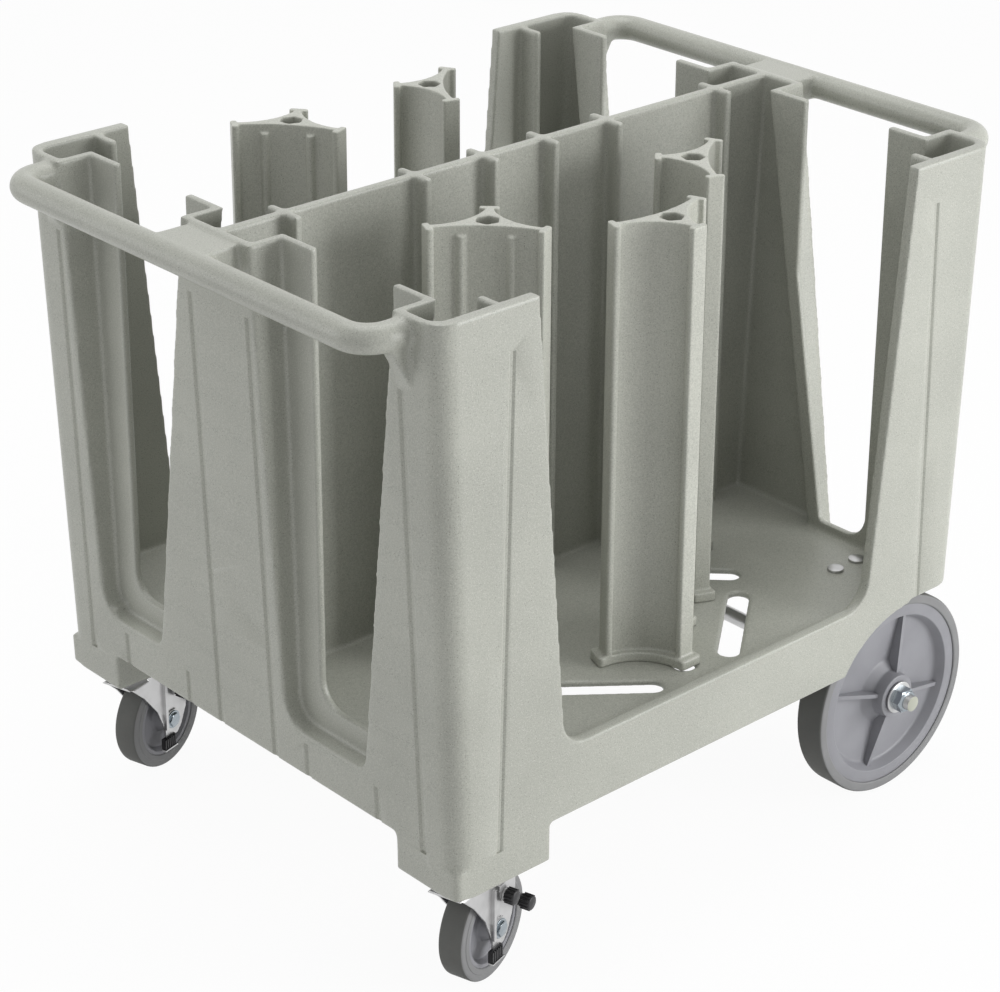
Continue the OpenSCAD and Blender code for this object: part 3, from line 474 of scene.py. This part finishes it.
# %% [markdown]
# The end walls lean inwards a little. A place on such a wall is given from the middle of its foot, in a
# frame that leans with it, so the same numbers serve both ends. The feet over the casters reach down
# from the wall, and their outer corner is squarer than the round corner of the post above.

# %% Body
END_FOOT_X, END_FOOT_Z, END_LEAN, SIDE_Y = 390.0, 151.3, 2.06, 350.0
FOOT_LOW, FOOT_TOP, FOOT_DEPTH, FOOT_CORNER = 1.5, 36.0, 40.0, 7.0


def end_place(end):
    """The outer face of an end wall: local X points out of it, Y across, and Z up along its lean."""
    lean = Matrix.Rotation(math.radians(END_LEAN), 4, "Y")
    return (Matrix.Rotation(math.pi * (end < 0), 4, "Z")
            @ Matrix.Translation(Vector((END_FOOT_X, 0, END_FOOT_Z)) * MM) @ lean)


def foot_corner(side):
    """A block with a small corner radius: the foot is squarer than the post above it."""
    low, high = sorted((side * SIDE_Y, side * (SIDE_Y - FOOT_DEPTH)))
    corners = [(-FOOT_DEPTH, low), (0.0, low), (0.0, high), (-FOOT_DEPTH, high)]
    radii = [0, FOOT_CORNER, 0, 0] if side < 0 else [0, 0, FOOT_CORNER, 0]
    outline = arc_corners(corners, radii, 6)
    return pushed("foot", [(FOOT_LOW, outline), (FOOT_TOP, outline)], end_place(-1))


BODY_NODES = ["end_wall_casters", "end_wall_wheels", "floor_pan", "centre_wall", "skirt_ends", "side_sills",
              "end_bars"]
SWELL = 0.15
parts = [merged_copy(name, name + "_swelled", SWELL) for name in BODY_NODES]
body = combine(parts[0], parts[1:], "UNION")
body.name = "body_moulding"
combine(body, [foot_corner(side) for side in (-1, 1)], "UNION")
moulded(body, 2.2, 9, 165000)

# %% [markdown]
# The end walls carry upright channels that stiffen them, and each side post has a narrower one. They are
# cut into the finished skin, with the same solver that joined the pieces, so that their edges stay clear.
# A channel is given by its place across the wall at its foot and at its top, because some of them lean.

# %% Channels in the walls
CHANNEL_LOW, CHANNEL_TOP, SHORT_CHANNEL_TOP = 192.0, 724.0, 239.3
TALL_CHANNELS = [(-49, -49), (49, 49), (-298, -292), (298, 292)]
CHANNELS = [(y_low, y_high, CHANNEL_TOP) for y_low, y_high in TALL_CHANNELS]
CHANNELS += [(side * y, side * y, SHORT_CHANNEL_TOP) for side in (-1, 1) for y in (107.2, 225.6)]
CHANNEL_HALF, CHANNEL_DEPTH = 5.2, 2.3
LINE_X_LOW, LINE_X_TOP, LINE_TOP, LINE_HALF, LINE_DEPTH = 331.0, 317.0, 757.0, 4.2, 1.9


def groove_section(half_width, depth):
    """The outline of a channel across the wall: wide above the skin, and narrow at its bottom."""
    half = [(half_width * 2.4, 3.5), (half_width, 0.0), (half_width * 0.45, -depth)]
    return half + [(-across, out) for across, out in reversed(half)]


def channel_cutter(end, y_low, y_high, top):
    section = groove_section(CHANNEL_HALF, CHANNEL_DEPTH)
    outlines = [(z - END_FOOT_Z, [(out, y + across) for across, out in section])
                for y, z in ((y_low, CHANNEL_LOW), (y_high, top))]
    return pushed("channel", outlines, end_place(end))


def line_cutter(end, side):
    section = groove_section(LINE_HALF, LINE_DEPTH)
    outlines = [(z, [(end * x + across, side * (SIDE_Y + out)) for across, out in section])
                for x, z in ((LINE_X_LOW, CHANNEL_LOW), (LINE_X_TOP, LINE_TOP))]
    return pushed("line", outlines, Matrix())


cutters = [channel_cutter(end, *channel) for end in (-1, 1) for channel in CHANNELS]
cutters += [line_cutter(end, side) for end in (-1, 1) for side in (-1, 1)]
combine(body, cutters, "DIFFERENCE")
smooth_by_angle(body, 38)
hand_over(body, BODY, *BODY_NODES)

# %% [markdown]
# The towers are mouldings of the same kind, only smaller, so their cubes are smaller too and their edges
# come out finer. Their colour is painted lighter than the body's same plastic, as painted light for lamp
# light that doesn't reach them.

# %% Towers
for name in ["tower_%d" % k for k in range(1, 6)]:
    tower = moulded(merged_copy(name, name + "_moulded"), 1.4, 4, 36000)
    hand_over(tower, TOWER_PAINTED_LIGHTER, name)

# %% [markdown]
# Some things on the cart repeat round an axis: the fins of a wheel and the ribs of a brake grip. Geometry
# Nodes say that rule once: so many copies of one part, each turned by its share of a circle. The tree's
# inputs are the part, its distance from the axis and the number of copies.


# %% A part repeated round an axis
def input_sockets(tree, kinds):
    tree.interface.new_socket("Made", in_out="OUTPUT", socket_type="NodeSocketGeometry")
    for name, kind in kinds.items():
        tree.interface.new_socket(name, in_out="INPUT", socket_type="NodeSocket" + kind)
    start = tree.nodes.new("NodeGroupInput")
    return [Value(tree, socket) for socket in start.outputs if socket.name]


def end_with(made, finish):
    real = made.node("GeometryNodeRealizeInstances", Geometry=made)
    painted = real.node("GeometryNodeSetMaterial", Geometry=real, Material=finish)
    out = made.tree.nodes.new("NodeGroupOutput")
    made.tree.links.new(painted.socket, out.inputs[0])


def round_tree():
    tree = bpy.data.node_groups.new("repeat_round", "GeometryNodeTree")
    part, radius, count, finish = input_sockets(
        tree, {"Part": "Geometry", "Radius": "Float", "Count": "Int", "Finish": "Material"})
    out = part.node("ShaderNodeCombineXYZ", X=radius)
    moved = part.node("GeometryNodeTransform", Geometry=part, Translation=out)
    points = part.node("GeometryNodePoints", Count=count)
    index = part.node("GeometryNodeInputIndex")
    turn = part.node("ShaderNodeCombineXYZ", Z=index * (2 * math.pi) / count)
    spin = part.node("FunctionNodeEulerToRotation", Euler=turn)
    placed = part.node("GeometryNodeInstanceOnPoints", Points=points, Instance=moved, Rotation=spin)
    end_with(placed, finish)
    return tree


def grown(piece, tree, **inputs):
    step = piece.modifiers.new("grow", "NODES")
    step.node_group = tree
    for socket in tree.interface.items_tree:
        if socket.in_out == "INPUT" and socket.name in inputs:
            step[socket.identifier] = inputs[socket.name]
    return evaluated(piece)


ROUND = round_tree()


def placed_at(piece, place):
    piece.data.transform(place)
    return piece


# %% [markdown]
# A large wheel is a moulded core with a solid tyre pressed round it. The core has a dish on each side, a
# hub that stands out of it, and four fins that are deep at the hub and lower at the rim. The core's
# outline is spun with its corners already round, the fins are repeated round it, and the two are joined.
# The tyre is spun from its own outline, with a fine gap to the rim and rounded shoulders.

# %% Large wheels
AXLE_X, AXLE_Z, WHEEL_MIDDLE = 317.5, 127.0, 313.0
CORE_OUTLINE = arc_corners(
    [(13.5, -21), (24, -21), (27, -8), (36, -4), (94, -4), (99.5, -17), (114.9, -17), (114.9, 17),
     (100.5, 17), (94, 4), (40, 4), (29, 13), (27, 27), (13.5, 27)],
    [0, 1.5, 4, 5, 4, 1.5, 0.4, 0.4, 1.5, 5, 6, 4, 1.4, 0], 4)
FIN_OUTLINE = [(0, 0), (76.5, 0), (76.5, 9.5), (73, 10.5), (0, 21)]
FIN_START, FIN_HALF, FIN_TURN = 23.0, 2.4, 75.0
TYRE_OUTLINE = arc_corners([(115, -18.2), (116.2, -19), (127, -19), (127, 19), (116.2, 19), (115, 18.2)],
                           [0, 0.5, 3.4, 3.4, 0.5, 0], 5)


def wheel_place(side):
    return at(AXLE_X, side * WHEEL_MIDDLE, AXLE_Z, -90.0 * side)


def wheel_fins(side):
    made = []
    for face in (-1, 1):
        flat = [(x, face * y) for x, y in FIN_OUTLINE]
        fin = pushed("fin", [(-FIN_HALF, flat), (FIN_HALF, flat)], at(0, 0, 0, 90.0))
        grown(fin, ROUND, Radius=FIN_START * MM, Count=4, Finish=CORE)
        made.append(placed_at(fin, wheel_place(side) @ Matrix.Rotation(math.radians(FIN_TURN), 4, "Z")))
    return made


def refinish(piece, finish, place, test):
    """Gives some faces one more finish: those whose middle, in mm from a place, passes the test."""
    piece.data.materials.append(finish)
    last = len(piece.data.materials) - 1
    back = place.inverted()
    for face in piece.data.polygons:
        if test((back @ face.center) / MM):
            face.material_index = last


for side, name in ((1, "left"), (-1, "right")):
    core = combine(spun("wheel_core_dished_" + name, CORE_OUTLINE, wheel_place(side), 128),
                   wheel_fins(side), "UNION")
    hand_over(smooth_by_angle(core, 30), CORE, "wheel_core_" + name)
    tyre = smooth_by_angle(spun("wheel_tyre_solid_" + name, TYRE_OUTLINE, wheel_place(side), 160), 40)
    hand_over(tyre, RUBBER, "wheel_tyre_" + name)
    refinish(tyre, TREAD, wheel_place(side), lambda spot: math.hypot(spot.x, spot.y) > 125.8)

# %% [markdown]
# A caster wheel is a smaller one of the same kind, with a flat web and no fins, so both its pieces are
# spun. The tyre's side has a low step near the rim, which shows as a line of light.

# %% Caster wheels
KINGPIN_X, KINGPIN_Y, CASTER_TURN, TRAIL, CASTER_Z = -330.0, 297.5, 16.0, 28.0, 63.5
CASTER_CORE = arc_corners([(5.05, -19.2), (15, -19.2), (19, -7), (40, -6), (43.5, -14.5), (47.9, -14.5),
                           (47.9, 14.5), (43.5, 14.5), (40, 6), (19, 7), (15, 19.2), (5.05, 19.2)],
                          [0, 1, 4, 3, 1.2, 0.4, 0.4, 1.2, 3, 4, 1, 0], 4)
CASTER_TYRE = arc_corners([(48, -15.2), (49, -16), (54.5, -16), (55.5, -15.2), (63.5, -15.2), (63.5, 15.2),
                           (55.5, 15.2), (54.5, 16), (49, 16), (48, 15.2)],
                          [0, 0.4, 0.3, 0.3, 3.4, 3.4, 0.3, 0.3, 0.4, 0], 4)


def caster_place(side):
    return at(KINGPIN_X, side * KINGPIN_Y, 0, 0, 0, CASTER_TURN)


for side, name in ((1, "left"), (-1, "right")):
    hub = caster_place(side) @ at(TRAIL, 0, CASTER_Z, 90.0)
    hand_over(smooth_by_angle(spun("caster_core_dished_" + name, CASTER_CORE, hub, 80), 35),
              CORE, "caster_core_" + name)
    tyre = smooth_by_angle(spun("caster_tyre_solid_" + name, CASTER_TYRE, hub, 128), 35)
    hand_over(tyre, RUBBER, "caster_tyre_" + name)
    refinish(tyre, TREAD, hub, lambda spot: math.hypot(spot.x, spot.y) > 62.2)

# %% [markdown]
# The fork is one sheet of steel, pressed over a die, so its legs meet the crown in a wide bend. The CAD
# fork has square corners there. It is cut to a block with rounded upper edges and then remeshed finely.
# On its brake side it carries a guide strip for the brake, a bracket, and a dark ribbed pad at its foot
# that keeps thread off the axle.

# %% Forks
CROWN_TOP, FORK_HALF, BEND, FORK_REACH = 138.0, 22.5, 7.0, 80.0
CUP_OUTLINE = [(0.01, 100), (24, 100), (24, 146), (22, 150), (0.01, 150)]


def bend_block(side):
    section = arc_corners([(-FORK_HALF, 0), (FORK_HALF, 0), (FORK_HALF, CROWN_TOP), (-FORK_HALF, CROWN_TOP)],
                          [0, 0, BEND, BEND], 8)
    return pushed("bend", [(-FORK_REACH, section), (FORK_REACH, section)],
                  caster_place(side) @ at(0, 0, 0, 90.0, 0, 90.0))


def cup_block(side):
    return spun("cup", CUP_OUTLINE, caster_place(side), 48)


def block(place, x_range, y_range, z_range):
    (x0, x1), (y0, y1) = x_range, y_range
    outline = [(x0, y0), (x1, y0), (x1, y1), (x0, y1)]
    return pushed("block", [(z, outline) for z in z_range], place)


GUIDE_STRIP = ((13.0, 17.5), (-26.4, -22.3), (55.0, 119.0))
GUIDE_PLATE = ((13.0, 34.0), (-24.4, -22.3), (43.5, 76.0))
GUIDE_BRACKET = ((21.0, 33.0), (-27.5, -22.3), (113.0, 121.0))
GUIDE_SHELF = ((6.0, 29.0), (-29.5, -22.4), (29.4, 31.0))
PAD = ((6.5, 28.5), (-26.4, -22.4), (31.02, 45.0))
PAD_RIBS, RIB_START, RIB_WIDTH, RIB_STEP = 6, 7.0, 2.0, 3.6
RIB_REST = ((-28.6, -26.3), (31.5, 44.5))


def brake_guide(side):
    place = caster_place(side)
    made = [block(place, *box) for box in (GUIDE_STRIP, GUIDE_PLATE, GUIDE_BRACKET, GUIDE_SHELF, PAD)]
    for k in range(PAD_RIBS):
        start = RIB_START + RIB_STEP * k
        made.append(block(place, (start, start + RIB_WIDTH), *RIB_REST))
    return made


def is_pad(spot):
    """Says if a point of the fork, in mm from the caster's place, belongs to the dark pad."""
    x_range, y_range, z_range = PAD
    in_height = z_range[0] - 0.02 < spot.z < z_range[1] + 0.1
    return in_height and spot.y < y_range[1] + 0.05 and spot.x < x_range[1] + 0.4


for side, name in ((1, "left"), (-1, "right")):
    reach = combine(bend_block(side), [cup_block(side)], "UNION")
    fork = combine(merged_copy("caster_fork_" + name, "caster_fork_pressed_" + name), [reach], "INTERSECT")
    moulded(fork, 0.8, 2, 60000)
    fork = smooth_by_angle(joined("caster_fork_pressed_" + name, [fork] + brake_guide(side)), 40)
    hand_over(fork, ZINC, "caster_fork_" + name)
    refinish(fork, BLACK, caster_place(side), is_pad)

# %% [markdown]
# The two grips of the side brake are black knobs with ribs, so that a shoe or a thumb doesn't slip. A
# knob is spun, and one small rounded rib is repeated round it with the same tree as the fins.

# %% Brake grips
PIN_X, PIN_Z, BRAKE_SEAT, BRAKE_DROP, BRAKE_LEN, ARM_T = 40.0, 100.0, 22.8, 38.0, 42.0, 2.5
KNOB_OUTLINE = arc_corners([(0.01, 0), (8.0, 0), (8.5, 12.2), (0.01, 12.8)], [0, 0.6, 2.0, 0], 5)
RIB_COUNT, RIB_RADIUS, RIB_HALF, RIB_SIDES, RIB_TIP = 14, 8.4, 1.05, 8, 0.4
RIB_FOOT, RIB_SHOULDER, RIB_END = 0.6, 10.4, 11.2


def brake_place(side, along):
    return (caster_place(side) @ at(PIN_X, -BRAKE_SEAT, PIN_Z, 90.0, BRAKE_DROP)
            @ at(along, 0, ARM_T))


def ribbed_knob(side, along):
    knob = spun("knob", KNOB_OUTLINE, brake_place(side, along), 48)
    angles = [2 * math.pi * k / RIB_SIDES for k in range(RIB_SIDES)]
    ring = [(RIB_HALF * math.cos(angle), RIB_HALF * math.sin(angle)) for angle in angles]
    tip = [(x * RIB_TIP, y * RIB_TIP) for x, y in ring]
    rib = pushed("rib", [(RIB_FOOT, ring), (RIB_SHOULDER, ring), (RIB_END, tip)], Matrix())
    grown(rib, ROUND, Radius=RIB_RADIUS * MM, Count=RIB_COUNT, Finish=BLACK)
    return joined("ribbed_knob", [knob, placed_at(rib, brake_place(side, along))])


for side, name in ((1, "left"), (-1, "right")):
    grips = joined("brake_grips_ribbed_" + name, [ribbed_knob(side, along) for along in (0.0, BRAKE_LEN)])
    hand_over(smooth_by_angle(grips, 40), BLACK, "brake_grips_" + name)

# %% [markdown]
# Bolts and nuts are all of one kind here: a hexagon with its corners turned off at 30 degrees and, on a
# bolt, a shank under it. The tree makes one from its sizes and puts a copy on every point of a mesh, so
# eight plate bolts are only a list of places. A size of nothing leaves out the shank or the bore.


# %% Hexagon fasteners
def chosen(size, made, otherwise):
    """Takes one shape if a size is more than nothing, and the other one if it isn't."""
    return size.node("GeometryNodeSwitch", settings={"input_type": "GEOMETRY"},
                     Switch=size.math("GREATER_THAN", size, 0.0), True_=made, False_=otherwise)


def fastener_tree():
    tree = bpy.data.node_groups.new("hexagon_fasteners", "GeometryNodeTree")
    places, corner, height, shank, length, bore, turn, finish = input_sockets(tree, {
        "Places": "Geometry", "Corner": "Float", "Height": "Float", "Shank": "Float", "Length": "Float",
        "Bore": "Float", "Turn": "Vector", "Finish": "Material"})
    prism = places.node("GeometryNodeMeshCylinder", out="Mesh", Vertices=6, Radius=corner, Depth=height)
    dome = places.node("GeometryNodeMeshCone", out="Mesh", Vertices=48, Radius_Top=corner * 0.9,
                       Radius_Bottom=corner * 0.9 + height * 1.8, Depth=height)
    low = places.node("ShaderNodeCombineXYZ", Z=height * -0.5)
    centred = places.node("GeometryNodeTransform", Geometry=dome, Translation=low)
    head = places.node("GeometryNodeMeshBoolean", out="Mesh",
                       settings={"operation": "INTERSECT", "solver": "MANIFOLD"}, Mesh_2=prism)
    tree.links.new(centred.socket, pick(head.socket.node.inputs, "Mesh_2"))
    rod = places.node("GeometryNodeMeshCylinder", out="Mesh", Vertices=32, Radius=shank, Depth=length)
    down = places.node("ShaderNodeCombineXYZ", Z=(length + height) * -0.5 + 0.0002)
    under = places.node("GeometryNodeTransform", Geometry=rod, Translation=down)
    hole = places.node("GeometryNodeMeshCylinder", out="Mesh", Vertices=40, Radius=bore, Depth=height * 3)
    pierced = places.node("GeometryNodeMeshBoolean", out="Mesh", settings={"solver": "MANIFOLD"},
                          Mesh_1=head, Mesh_2=hole)
    nut = chosen(bore, pierced, head)
    bolt = places.node("GeometryNodeJoinGeometry", Geometry=nut)
    tree.links.new(under.socket, pick(bolt.socket.node.inputs, "Geometry"))
    whole = chosen(length, bolt, nut)
    spin = places.node("FunctionNodeEulerToRotation", Euler=turn)
    placed = places.node("GeometryNodeInstanceOnPoints", Points=places, Instance=whole, Rotation=spin)
    end_with(placed, finish)
    return tree


FASTENERS = fastener_tree()


def fasteners(name, places, corner, height, shank=0.0, length=0.0, bore=0.0, turn=(0, 0, 0)):
    mesh = bpy.data.meshes.new(name)
    mesh.from_pydata([Vector(place) * MM for place in places], [], [])
    made = grown(linked(name, mesh), FASTENERS, Corner=corner * MM, Height=height * MM, Shank=shank * MM,
                 Length=length * MM, Bore=bore * MM, Turn=[math.radians(a) for a in turn], Finish=ZINC)
    return smooth_by_angle(made, 32)


# %% [markdown]
# The nut on the axle's end is a lock nut: a hexagon with a round collar. The hexagons come from the tree,
# and the collars are spun round the axle. The tip of the axle that stands out of the nut is as blue as the
# nut, with a pale face.

# %% Nuts of the large wheels
NUT_FACE, NUT_CORNER, NUT_FLAT = 343.8, 15.5, 11.5
AXLE_R, AXLE_TIP, AXLE_END = 9.55, 357.9, 364.9
COLLAR = arc_corners([(AXLE_R, 11.0), (13.3, 11.0), (12.3, 14.0), (AXLE_R, 14.0)], [0, 0, 1.0, 0.3], 4)


def nut_place(side):
    return at(AXLE_X, side * NUT_FACE, AXLE_Z, -90.0 * side)


hexagons = []
collars = []
for side in (1, -1):
    middle = nut_place(side) @ Vector((0, 0, NUT_FLAT / 2 * MM))
    hexagons.append(fasteners("nut_hexagon", [middle / MM], NUT_CORNER, NUT_FLAT, bore=AXLE_R,
                              turn=(-90.0 * side, 0, 0)))
    collars.append(spun("collar", COLLAR, nut_place(side), 64))
lock_nuts = joined("axle_lock_nuts", hexagons + collars)
hand_over(smooth_by_angle(lock_nuts, 32), NUT, "axle_nuts")

# %% [markdown]
# The bolts that hold the caster plates have their heads below and their shanks up in the feet. There are
# eight of one size, so one call places them all, turned over.

# %% Plate bolts
PLATE_HALF_X, PLATE_HALF_Y, HEAD_MIDDLE = 38.0, 25.0, 152.5
BOLT_CORNER, BOLT_HEAD, BOLT_R, BOLT_LEN = 7.11, 5.0, 3.95, 27.3
bolt_places = [(KINGPIN_X + x, side * KINGPIN_Y + y, HEAD_MIDDLE) for side in (1, -1)
               for x in (-PLATE_HALF_X, PLATE_HALF_X) for y in (-PLATE_HALF_Y, PLATE_HALF_Y)]
plate_bolts = fasteners("plate_bolt_hexagons", bolt_places, BOLT_CORNER, BOLT_HEAD, BOLT_R, BOLT_LEN,
                        turn=(180.0, 0, 0))
hand_over(plate_bolts, ZINC, "plate_bolts")

# %% [markdown]
# The wheel of a caster turns on a bolt with a round washer under its head. The bolt lies across the fork,
# so the hexagon is turned on its side and then by the caster's own turn.

# %% Axle bolts of the casters
CASTER_HEAD_Y = -25.5
CASTER_BOLT = {"corner": 9.0, "height": 6.0, "shank": 5.0, "length": 53.0}
WASHER = arc_corners([(5.1, 24.3), (11.5, 24.3), (11.5, 25.6), (5.1, 25.6)], [0, 0, 0.4, 0], 3)
for side, name in ((1, "left"), (-1, "right")):
    middle = caster_place(side) @ (Vector((TRAIL, CASTER_HEAD_Y, CASTER_Z)) * MM)
    bolt = fasteners("caster_bolt_hexagon_" + name, [middle / MM], turn=(90.0, 0, CASTER_TURN), **CASTER_BOLT)
    washer = spun("washer", WASHER, caster_place(side) @ at(TRAIL, 0, CASTER_Z, 90.0), 48)
    hand_over(smooth_by_angle(joined("caster_bolt_" + name + "_set", [bolt, washer]), 32),
              NUT, "caster_bolt_" + name)

# %% [markdown]
# What is left are plates, washers, studs and brackets that were cut or turned. Their edges are broken by
# half a millimetre, which is what catches the light on such pieces. A Bevel modifier does that on a
# merged copy of the node, only where two faces meet at more than 35 degrees.


# %% Eased edges
def eased(name, width):
    piece = merged_copy(name, name + "_eased")
    bevel = piece.modifiers.new("ease", "BEVEL")
    bevel.width = width * MM
    bevel.segments = 2
    bevel.limit_method = "ANGLE"
    bevel.angle_limit = math.radians(35)
    bevel.harden_normals = False
    return smooth_by_angle(evaluated(piece), 40)


EASED = {0.4: ["caster_nut", "kingpin", "brake_arm", "caster_plate", "swivel_race", "wheel_bush"],
         0.5: ["clamp_washer", "stud"], 1.2: ["wing_knob"]}
plain = dict.fromkeys(("axle_brackets", "axle_spacers", "axle_washers", "rear_axle", "bracket_bolts"), 0.5)
for width, kinds in EASED.items():
    for kind in kinds:
        plain.update({name: width for name in slots if name.rpartition("_")[0] == kind})
for name, width in plain.items():
    piece = eased(name, width)
    hand_over(piece, FINISHES[slots[name]], name)
    if name == "rear_axle":
        refinish(piece, NUT, Matrix(), lambda spot: abs(spot.y) > AXLE_TIP)
        refinish(piece, PALE, Matrix(), lambda spot: abs(spot.y) > AXLE_END)

# %% [markdown]
# The picture is a studio one: a pale floor that runs off into white, a large soft light from the right,
# weaker ones from the left and from above, and light from all round. A camera ray sees the floor and the
# world as nearly plain white, while the cart still gets the light of the room.


# %% Studio
FLOOR_HALF, FLOOR_GAP, FLOOR_WHITE = 6.0, 0.0005, 0.95


def seen_share(shader, share):
    """How far a surface shows as plain white: only to the eye, in a mirror or through glass."""
    camera_ray = shader.node("ShaderNodeLightPath", out="Is_Camera_Ray")
    glossy_ray = shader.node("ShaderNodeLightPath", out="Is_Glossy_Ray")
    through_ray = shader.node("ShaderNodeLightPath", out="Is_Transmission_Ray")
    return (camera_ray + glossy_ray + through_ray) * share


def white_stage():
    half, low = FLOOR_HALF, cad_low.z - FLOOR_GAP
    mesh = bpy.data.meshes.new("studio_floor")
    mesh.from_pydata([(-half, -half, low), (half, -half, low), (half, half, low), (-half, half, low)],
                     [], [(0, 1, 2, 3)])
    floor = bpy.data.objects.new("studio_floor", mesh)
    bpy.context.scene.collection.objects.link(floor)
    made, bsdf, shader = finish_named("pale_floor", Roughness=0.9, Base_Color=rgb(0.86, 0.86, 0.86))
    white = shader.node("ShaderNodeEmission", Color=rgb(1, 1, 1), Strength=1.0)
    mixed = shader.node("ShaderNodeMixShader", Fac=seen_share(shader, FLOOR_WHITE),
                        Shader=Value(shader.tree, bsdf.outputs[0]))
    shader.tree.links.new(white.socket, mixed.socket.node.inputs[2])
    shader.tree.links.new(mixed.socket, shader.tree.nodes["Material Output"].inputs["Surface"])
    floor.data.materials.append(made)
    return floor


def soft_light(name, place, target, size, power):
    data = bpy.data.lights.new(name, "AREA")
    data.shape = "SQUARE"
    data.size = size
    data.energy = power
    lamp = bpy.data.objects.new(name, data)
    bpy.context.scene.collection.objects.link(lamp)
    lamp.location = place
    lamp.rotation_euler = (Vector(target) - Vector(place)).to_track_quat("-Z", "Y").to_euler()
    return lamp


def room_light(strength):
    world = bpy.data.worlds.new("studio_world")
    bpy.context.scene.world = world
    world.use_nodes = True
    tree = world.node_tree
    tree.nodes.clear()
    shader = Value(tree, None)
    light = shader.node("ShaderNodeBackground", Color=rgb(1, 1, 1),
                        Strength=strength + seen_share(shader, 1 - strength))
    out = tree.nodes.new("ShaderNodeOutputWorld")
    tree.links.new(light.socket, out.inputs["Surface"])


white_stage()
MIDDLE = (0, 0, 0.4)
soft_light("key", (2.2, -3.3, 1.0), MIDDLE, 2.2, 118)
soft_light("fill", (-3.0, 2.3, 1.3), MIDDLE, 2.2, 26)
soft_light("top", (0.4, 0.4, 3.6), MIDDLE, 2.6, 60)
room_light(0.43)
